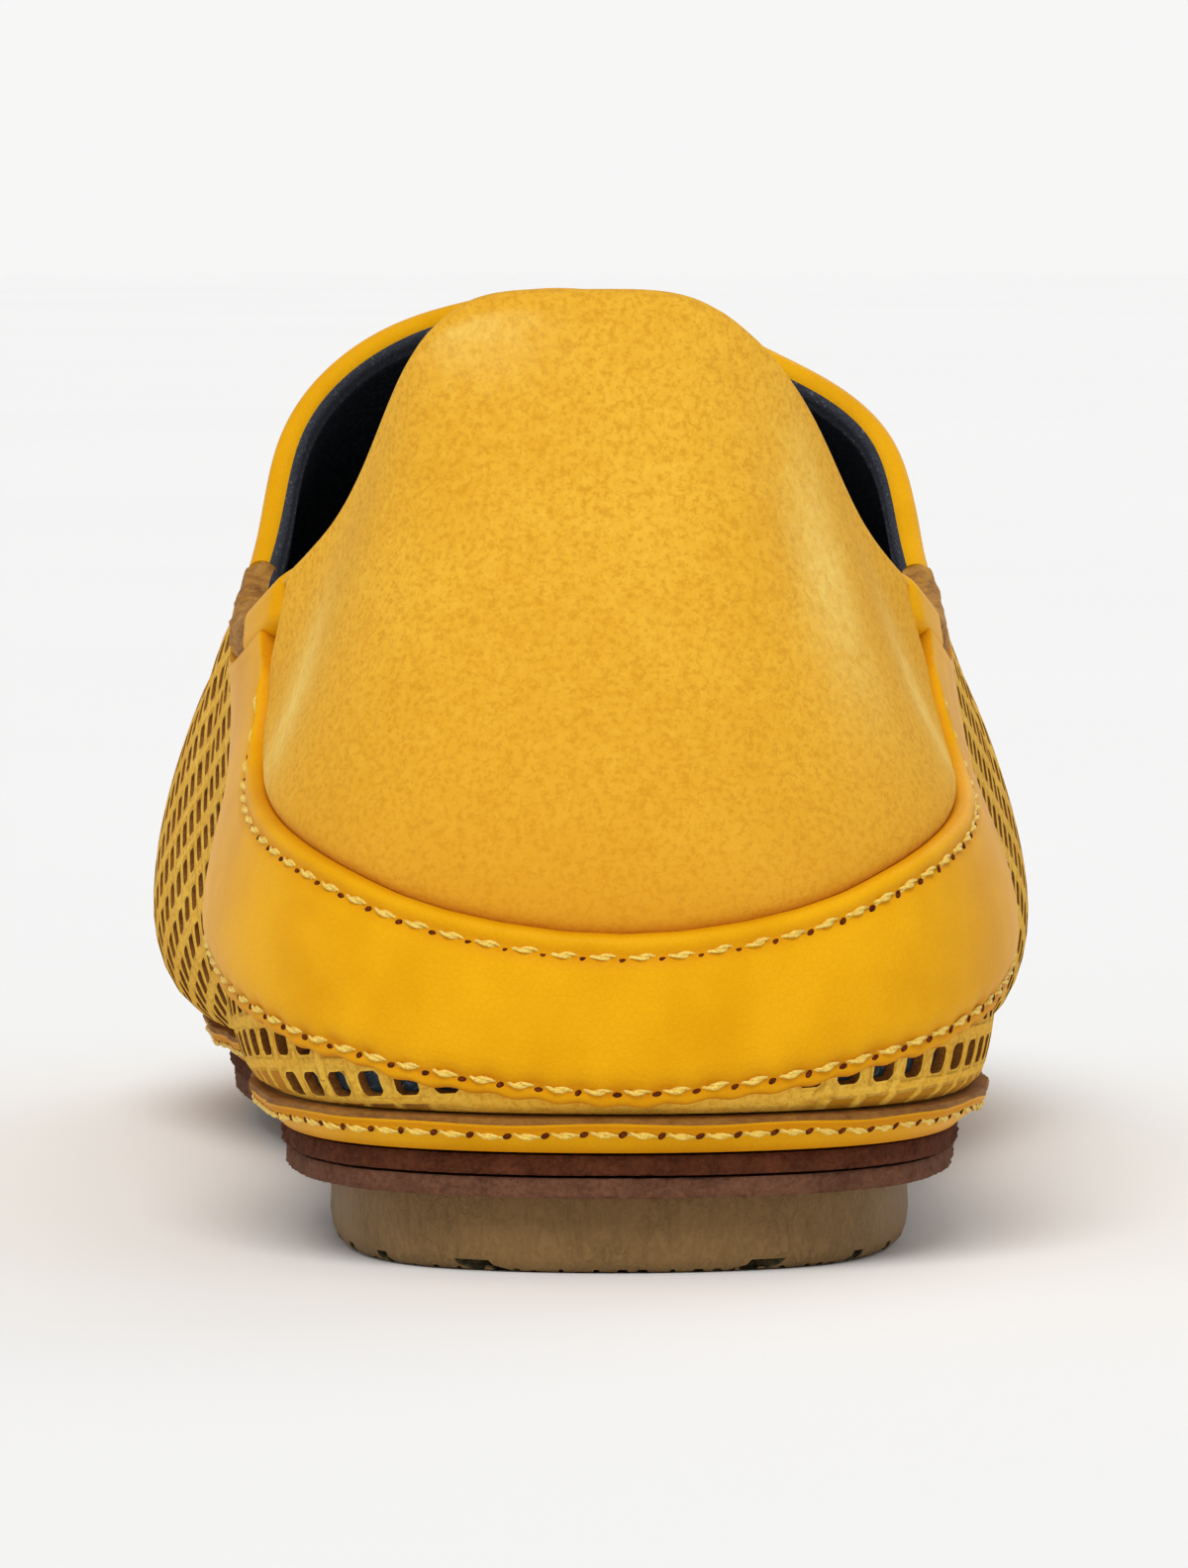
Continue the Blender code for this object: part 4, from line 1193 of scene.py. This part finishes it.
def strip_sections(share, low, folds, height, legs, seat=0.1, tail=4):
    """The rings of such a strip. Its outside has the height in mm, legs gives how far down inside
    and how deep in from the wall it goes, and it returns by the wall's own sides."""
    outside, over, lifts, centre = folds
    start, rise = share[:, None], whole(share)[:, None]
    downs, depths = np.array(legs).T
    down = centre - downs[None] * MM
    return np.concatenate([
        skin(start, outside, height * MM),
        skin(start, over, lifts),
        skin(start, down, -WALL - depths[None] * MM),
        skin(start, np.concatenate([down[:, -1:], centre], axis=1), -WALL - seat * MM),
        skin(start, rise + 0.15 * MM, -WALL * 0.5),
        skin(start, np.linspace(1, 0, tail)[None] * (rise - low[:, None]) + low[:, None],
             0.2 * MM),
    ], axis=1)


def make_back_panel():
    """The tall soft back, tucked under the foxing's rolled edge and turned in at the top."""
    share = np.linspace(-PANEL_END, PANEL_END, 261)
    low = along_edge(FOX_HIGH, share) + 0.05 * MM
    rows = np.concatenate([np.array([0, 0.004, 0.01, 0.02, 0.035]), np.linspace(0.05, 1, 52)])
    folds = folded(share, low, rows, 1.5 * MM, 0.9 * MM, 11, 0.9)
    up = folds[0] - low[:, None]
    rise = edged(np.minimum(up, 4 * MM),
                 ((0, 0.45), (0.5 * MM, 1.0), (1.2 * MM, 1.36), (2.5 * MM, 1.5)))
    side = np.clip(1 - np.abs(share) / PANEL_END, 0, 1)[:, None] * PANEL_END * EDGE_LENGTH
    rise = rise * edged(np.minimum(side, 4 * MM), ((0, 0.62), (0.8 * MM, 0.88), (2 * MM, 1.0)))
    sag = waver(share, 21, 6, 22)[:, None] * np.sin(np.pi * rows[None, :-1]) * 0.10
    legs = ((0.4, 0.9), (1.2, 0.9), (INNER_TURN / MM, 0.9))
    sections = strip_sections(share, low, folds, rise + sag, legs, 0.15, 12)
    low_shade, scuffed = np.zeros(sections.shape[:2]), np.zeros(sections.shape[:2])
    across = share[:, None] * EDGE_LENGTH
    # painted shade: darkest just above the foxing's rolled edge at the back, fading up and to the
    # sides
    low_shade[:, : up.shape[1]] = np.exp(-up / (9 * MM)) * np.exp(-(across / (45 * MM)) ** 2)
    for aside, height, wide, tall in PANEL_SCUFFS:
        near = ((across - aside) / wide) ** 2 + ((up - height) / tall) ** 2
        scuffed[:, : up.shape[1]] += np.exp(-near)
    fields = {"low_shade": low_shade, "scuffed": np.clip(scuffed, 0, 1)}
    keep(loft("back_panel_nubuck", sections, [NUBUCK], fields=fields), "nubuck", "back_panel")


def make_binding():
    """The throat's rolled edge, with the lining's grey edge inside it."""
    share = np.linspace(COLLAR_EDGE_END + 0.001, 1 - COLLAR_EDGE_END - 0.001, 521)
    low = whole(share) - BINDING_WIDTH
    folds = folded(share, low, np.linspace(0, 1, 15), 1.25 * MM, 0.12 * MM, 15)
    up = folds[0] - low[:, None]
    height = edged(up, ((0, 0.55), (0.4 * MM, 0.85), (1.1 * MM, 0.72), (1.9 * MM, 0.95),
                        (3 * MM, 1.25)))
    legs = ((0.6, 0.2), (1.0, 0.45), (1.8, 0.5), (2.6, 0.45), (INNER_TURN / MM, 0.25))
    sections = strip_sections(share, low, folds, height, legs, tail=5)
    sides = np.zeros(sections.shape[1], int)
    grey = up.shape[1] + folds[1].shape[1] - 6
    sides[grey : grey + 7] = 1
    sides[grey + 7 : grey + len(legs) + 6] = 2
    # painted shade along the channel of the binding's stitches
    hollow_shade = np.zeros(sections.shape[:2])
    hollow_shade[:, : up.shape[1]] = fading(up, 1.2, 0.7) * 0.7
    piece = loft("throat_piping", sections, [SMOOTH, LINING_EDGE, LINING], False, sides,
                 {"hollow_shade": hollow_shade})
    span = np.linspace(COLLAR_EDGE_END + 0.004, 1 - COLLAR_EDGE_END - 0.004, 900)
    place = whole(span) - BINDING_WIDTH + 1.15 * MM
    path, lifted = skin(span, place, 0.88 * MM), skin(span, place, 1.88 * MM)
    stitch_line("binding_stitches", path, lifted - path, STITCH_PITCH * 0.9, 2.7 * MM, 0.55 * MM,
                0.08)
    keep(piece, "smooth_leather", "throat_binding")


def make_collar_edge(name, node, side, seed):
    """A raw strip over the side of the collar, lumpy where it was cut."""
    share = np.linspace(*sorted((side * RAW_START, side * COLLAR_EDGE_END)), 121)
    low = whole(share) - COLLAR_EDGE_WIDTH + (0.35 * waver(share * 3, seed, 8, 40)) * MM
    outside, over, lifts, centre = folded(share, low, np.linspace(0, 1, 11), 1.6 * MM, 0.4 * MM)

    def bumps(first, count):
        rows = [waver(share * 2, first + row // 3, 12, 60) for row in range(count)]
        return np.stack(rows, axis=1)

    height = edged(outside - low[:, None], ((0, 0.8), (0.3 * MM, 1.3), (1 * MM, 1.6)))
    folds = outside, over + 0.25 * bumps(seed + 4, 13) * MM, lifts, centre
    legs = ((0.8, 0.6), (2.0, 0.6), (INNER_TURN / MM, 0.4))
    sections = strip_sections(share, low, folds, height + 0.28 * bumps(seed, 10), legs)
    sides = np.zeros(sections.shape[1], int)
    grey = outside.shape[1] + over.shape[1] - 4
    sides[grey : grey + len(legs) + 4] = 1
    keep(loft(name, sections, [RAW, LINING_EDGE], False, sides), "raw_edge", node)


def make_collar_turn(name, node, side):
    """Where the foxing's smooth leather runs up over the collar, behind the raw strip."""
    share = np.linspace(*sorted((side * PANEL_END, side * (RAW_START - 0.0005))), 61)
    low = whole(share) - COLLAR_EDGE_WIDTH - 1.1 * MM
    outside, over, lifts, centre = folded(share, low, np.linspace(0, 1, 13), 1.9 * MM, 0.4 * MM)
    height = edged(outside - low[:, None], ((0, 0.5), (0.7 * MM, 1.6), (1.5 * MM, 1.9)))
    taper = np.clip((np.abs(share) - PANEL_END) * EDGE_LENGTH / (3 * MM), 0, 1)[:, None]
    taper = 0.5 + 0.5 * np.sin(taper * np.pi / 2)
    folds = outside, over, np.where(lifts > 0, lifts * taper, lifts), centre
    legs = ((0.8, 0.5), (2.0, 0.5), (INNER_TURN / MM, 0.3))
    sections = strip_sections(share, low, folds, height * taper, legs)
    hollow_shade = np.zeros(sections.shape[:2])
    keep(loft(name, sections, [SMOOTH], fields={"hollow_shade": hollow_shade}), "raw_edge", node)


def make_rand():
    """The smooth strip round the shoe, its brown cut edge on top."""
    share = np.arange(1000) / 1000
    rows = (
        # inset, level, finish, painted shade
        (RAND_FLARE - RAND_LIP + 0.25 * MM, RAND_BOTTOM, 0, 0.8),
        (RAND_FLARE - RAND_LIP, RAND_BOTTOM + 0.25 * MM, 0, 0.5),
        (0.68 * RAND_FLARE - RAND_LIP, RAND_BOTTOM + 0.9 * MM, 0, 0),
        (0.37 * RAND_FLARE - RAND_LIP, RAND_BOTTOM + 1.6 * MM, 0, 0),
        (0.20 * RAND_FLARE - RAND_LIP, RAND_BOTTOM + 2.1 * MM, 0, 0.35),
        (0.06 * RAND_FLARE - RAND_LIP, RAND_BOTTOM + 2.6 * MM, 0, 0.8),
        (-RAND_LIP, RAND_BOTTOM + 3.0 * MM, 1, 0),
        (-RAND_LIP - 0.1 * MM, RAND_TOP - 0.4 * MM, 1, 0),
        (-RAND_LIP, RAND_TOP - 0.08 * MM, 1, 0),
        (-RAND_LIP + 0.5 * MM, RAND_TOP, 1, 0),
        (GAP + 0.6 * MM, RAND_TOP, 0, 0),
        (RAND_WIDTH, RAND_TOP, 0, 0),
        (RAND_WIDTH, RAND_BOTTOM, 0, 0),
    )
    loops = []
    for number, (inset, level, _, _) in enumerate(rows):
        rough = 0.12 * waver(share, 40 + number, 60, 200) if 6 <= number <= 9 else 0 * share
        inset = inset - (0.20 * waver(share, 31, 12, 60) + rough) * MM * (4 <= number <= 9)
        lift = level + (0.18 * waver(share, 33, 10, 40) * (3 <= number <= 9)
                        * (0.4 if number > 7 else 1)) * MM
        loops.append(edge_at(share, inset, np.minimum(lift, RAND_TOP + 0.1 * MM)))
    sections = np.stack(loops, axis=1)
    sides = np.array([row[2] for row in rows])
    # painted shade where the rand meets the sole and under its brown cut edge
    hollow_shade = np.zeros(sections.shape[:2]) + [row[3] for row in rows]
    piece = loft("rand_strip", sections, [SMOOTH, RAND_EDGE], True, sides, {"hollow_shade": hollow_shade})
    fine = np.arange(3001) / 3000
    rest = 0.2 * waver(fine, 31, 12, 60) * MM
    level = RAND_BOTTOM + 1.9 * MM + 0.18 * waver(fine, 33, 10, 40) * MM
    path = edge_at(fine, 0.22 * RAND_FLARE - RAND_LIP - rest, level)
    outward = edge_plan(fine, 0.0)[1]
    out = np.concatenate([outward, np.full((len(fine), 1), -0.45)], axis=1)
    stitch_line("rand_stitches", path, out, STITCH_PITCH, 3.0 * MM, 0.68 * MM, -0.10)
    keep(piece, "smooth_leather", "rand")


def make_sole_layer(name, node, inset, low, high, finish, seed):
    """A layer of sole leather with a rough, slightly wavy cut edge."""
    share = np.arange(1200) / 1200
    loops = []
    for number, t in enumerate(np.linspace(0, 1, 7)):
        round_off = 0.22 * (2 * t - 1) ** 6
        rough = 0.16 * waver(share, seed + number, 120, 420, 16)
        rough = rough + 0.16 * waver(share, seed, 15, 60)
        wave = 0.07 * MM * waver(share, seed + 50, 30, 120) * (0 < t < 1)
        level = low + (high - low) * t + wave
        loops.append(edge_at(share, inset + (round_off - rough) * MM, level))
    keep(stacked(name, np.stack(loops), finish), "brown_leather", node)


def share_at(y, inset, side):
    low, high = (0.0, 0.45) if side > 0 else (1.0, 0.55)
    for _ in range(40):
        middle = (low + high) / 2
        if edge_plan(middle, inset)[0][1] < y:
            low = middle
        else:
            high = middle
    return (low + high) / 2


def make_tread(name, node, front, line, floor, rows, grooves, notches):
    """A rubber block with grooves across its underside and notches along its lower edge."""
    loops = []
    for inset, up in rows:
        inset = inset + LEATHER_INSET + TREAD_INSET
        outer, inner = share_at(line, inset, 1), share_at(line, inset, -1)
        start, end = (inner, outer) if front else (inner - 1, outer)
        plan = edge_plan(np.linspace(start, end, 241), inset)[0]
        level = floor(plan[:, 1]) + up
        loops.append(np.concatenate([plan, level[:, None]], axis=1) + PLACE)
    block = stacked(name, np.stack(loops), RUBBER, 1)
    points, along, out, size = [], [], [], []
    for y in grooves:
        points.append(PLACE + np.array([0, y, 0.0]))
        along.append((1, 0, 0)), out.append((0, 0, 1)), size.append((0.14, 1.8 * MM, 2.4 * MM))
    play = np.random.default_rng(17)
    edge = np.concatenate([loops[0][5:-5], loops[0][5:-5][-1:]])
    run = runs(edge)
    at = 2 * MM

    def on_edge(place):
        return np.array([np.interp(place, run, edge[:, axis]) for axis in range(3)])

    while notches and at < run[-1] - 2 * MM:
        spot, ahead = on_edge(at), on_edge(at + 0.5 * MM)
        points.append(spot + np.array([0, 0, play.uniform(-0.2, 0.25) * MM]))
        along.append(unit(ahead - spot + 1e-9)), out.append((0, 0, 1))
        size.append((play.uniform(0.5, 1.4) * MM, 2.8 * MM, play.uniform(0.6, 1.3) * MM))
        at += play.uniform(1.6, 3.6) * MM
    spots = dots(name + "_cuts", points, along, out, size)
    keep(punched_by(block, name, spots, 0.0, 1, NOTCH, RUBBER, 38), "tan_rubber", node)


def make_insole():
    """The footbed, softly dished, its rim over the rand."""
    share = np.arange(240) / 240
    rows = [(RAND_WIDTH + GAP, RAND_BOTTOM), (RAND_WIDTH + GAP, UPPER_BOTTOM),
            (GAP + WALL + 0.1 * MM, UPPER_BOTTOM),
            (GAP + WALL + 0.1 * MM, UPPER_BOTTOM + 1.6 * MM),
            (GAP + 1.5 * WALL, UPPER_BOTTOM + INSOLE_THICKNESS - 0.15 * MM)]
    rows += [(GAP + 1.5 * WALL + inset * MM, UPPER_BOTTOM + INSOLE_THICKNESS - dip * MM)
             for inset, dip in ((1, 0.0), (4, 0.1), (9, 0.3), (14, 0.45))]
    loops = np.stack([edge_at(share, inset, level) for inset, level in rows])
    keep(stacked("footbed", loops, LINING), "lining", "insole")


make_upper()
make_lining()
make_foxing()
make_back_panel()
make_binding()
for side, name, seed in ((1, "collar_edge_outer", 5), (-1, "collar_edge_inner", 15)):
    make_collar_edge(name + "_strip", name, side, seed)
    make_collar_turn(name + "_turn", name, side)
make_rand()
make_sole_layer("midsole_layer", "midsole", LEATHER_INSET - LEATHER_STEP, MIDSOLE_BOTTOM,
                MIDSOLE_TOP, UPPER_SOLE, 61)
make_sole_layer("outsole_layer", "outsole", LEATHER_INSET, 0.0, LEATHER_THICKNESS, LOWER_SOLE, 71)
make_insole()
make_tread("heel_block", "heel", False, HEEL_LENGTH, lambda y: 0 * y, (
    # inset, up from the floor
    (2.4 * MM, 0.0),
    (1.3 * MM, 0.15 * MM),
    (0.6 * MM, 0.7 * MM),
    (0.2 * MM, 1.7 * MM),
    (0.0, 3.2 * MM),
    (0.1 * MM, 5.5 * MM),
    (0.0, HEEL_HEIGHT - GAP),
), np.arange(14, 60, 9) * MM, True)
make_tread("forefoot_block", "forefoot_tread", True, PAD_START,
           lambda y: sole_line(y) - PAD_THICKNESS, (
               # inset, up from the tread's underside
               (1.5 * MM, 0.0),
               (0.5 * MM, 0.4 * MM),
               (0.0, 1.2 * MM),
               (0.0, PAD_THICKNESS - GAP),
           ), np.arange(124, 246, 9) * MM, False)
for piece in SMALL_PIECES:
    keep(piece, "smooth_leather")
for shape in (STITCH, NEEDLE, SQUARE):
    bpy.data.objects.remove(shape, do_unlink=True)


def make_floor():
    reach = 9.0
    corners = [(-reach, -reach, 0), (reach, -reach, 0), (reach, reach, 0), (-reach, reach, 0)]
    ground = raw_object("studio_floor", corners, [(0, 1, 2, 3)])
    floor = Finish("studio_floor", Specular_IOR_Level=0.1)
    spots = floor.noise(0.4, 2, 0.5)
    colour = floor.mix("F7F7F6", "FBFBFA", spots)
    ground.data.materials.append(floor.shade(colour, spots * 0.05 + 0.9))


def add_sun(name, way, power, spread):
    """A broad soft light from one side, the same over the whole floor."""
    lamp = bpy.data.lights.new(name, "SUN")
    lamp.energy, lamp.angle = power, math.radians(spread)
    thing = place_object(name, lamp)
    thing.location = way
    thing.rotation_euler = Vector(way).to_track_quat("Z", "Y").to_euler()


def light_studio():
    world = bpy.data.worlds.new("studio")
    world.use_nodes = True
    tree = world.node_tree
    sky = tree.nodes["Background"]
    place = add_node(tree, "ShaderNodeTexCoord", None, None)
    split = add_node(tree, "ShaderNodeSeparateXYZ", None, {0: place.outputs["Generated"]})
    over = Value(tree, split.outputs[2]).between(0.06, 0.5)
    wall, ceiling = (0.93, 0.93, 0.925, 1), (0.40, 0.40, 0.405, 1)
    shade = add_node(tree, "ShaderNodeMix", {"data_type": "RGBA"}, {0: over, 6: wall, 7: ceiling})
    tree.links.new(shade.outputs[2], sky.inputs["Color"])
    sky.inputs["Strength"].default_value = 1.0
    bpy.context.scene.world = world
    add_sun("key", (-0.2, -1.1, 1.25), 1.8, 34)
    add_sun("back", (0.6, 1.2, 1.0), 0.5, 40)


# The camera, found by matching the photograph: its place in metres, its turn, the middle of the
# picture and its reach, all but the first two in pixels of the photograph
CAMERA_PLACE = (-0.0214, -1.2406, 0.1115)
CAMERA_TURN = math.radians(1.5)
CAMERA_AIM = (886, 792)
CAMERA_REACH = 11350
PHOTO_MIDDLE, PHOTO_HORIZON, PHOTO_REACH, PHOTO_HEIGHT = 600, 420, 6600, 1584
SENSOR = 36.0


def set_camera():
    """Low behind the heel, as far off and as high as the photograph was taken from."""
    camera = bpy.data.cameras.new("camera")
    camera.sensor_width = SENSOR
    camera.lens = CAMERA_REACH * SENSOR / PHOTO_HEIGHT
    thing = place_object("camera", camera)
    ahead = Vector((-math.sin(CAMERA_TURN), math.cos(CAMERA_TURN), 0))
    right = Vector((math.cos(CAMERA_TURN), math.sin(CAMERA_TURN), 0))
    aside = (CAMERA_AIM[0] - PHOTO_MIDDLE) / PHOTO_REACH
    down = (CAMERA_AIM[1] - PHOTO_HORIZON) / PHOTO_REACH
    look = ahead + right * aside - Vector((0, 0, down))
    thing.location = CAMERA_PLACE
    thing.rotation_euler = look.to_track_quat("-Z", "Y").to_euler()
    bpy.context.scene.camera = thing


make_floor()
light_studio()
set_camera()
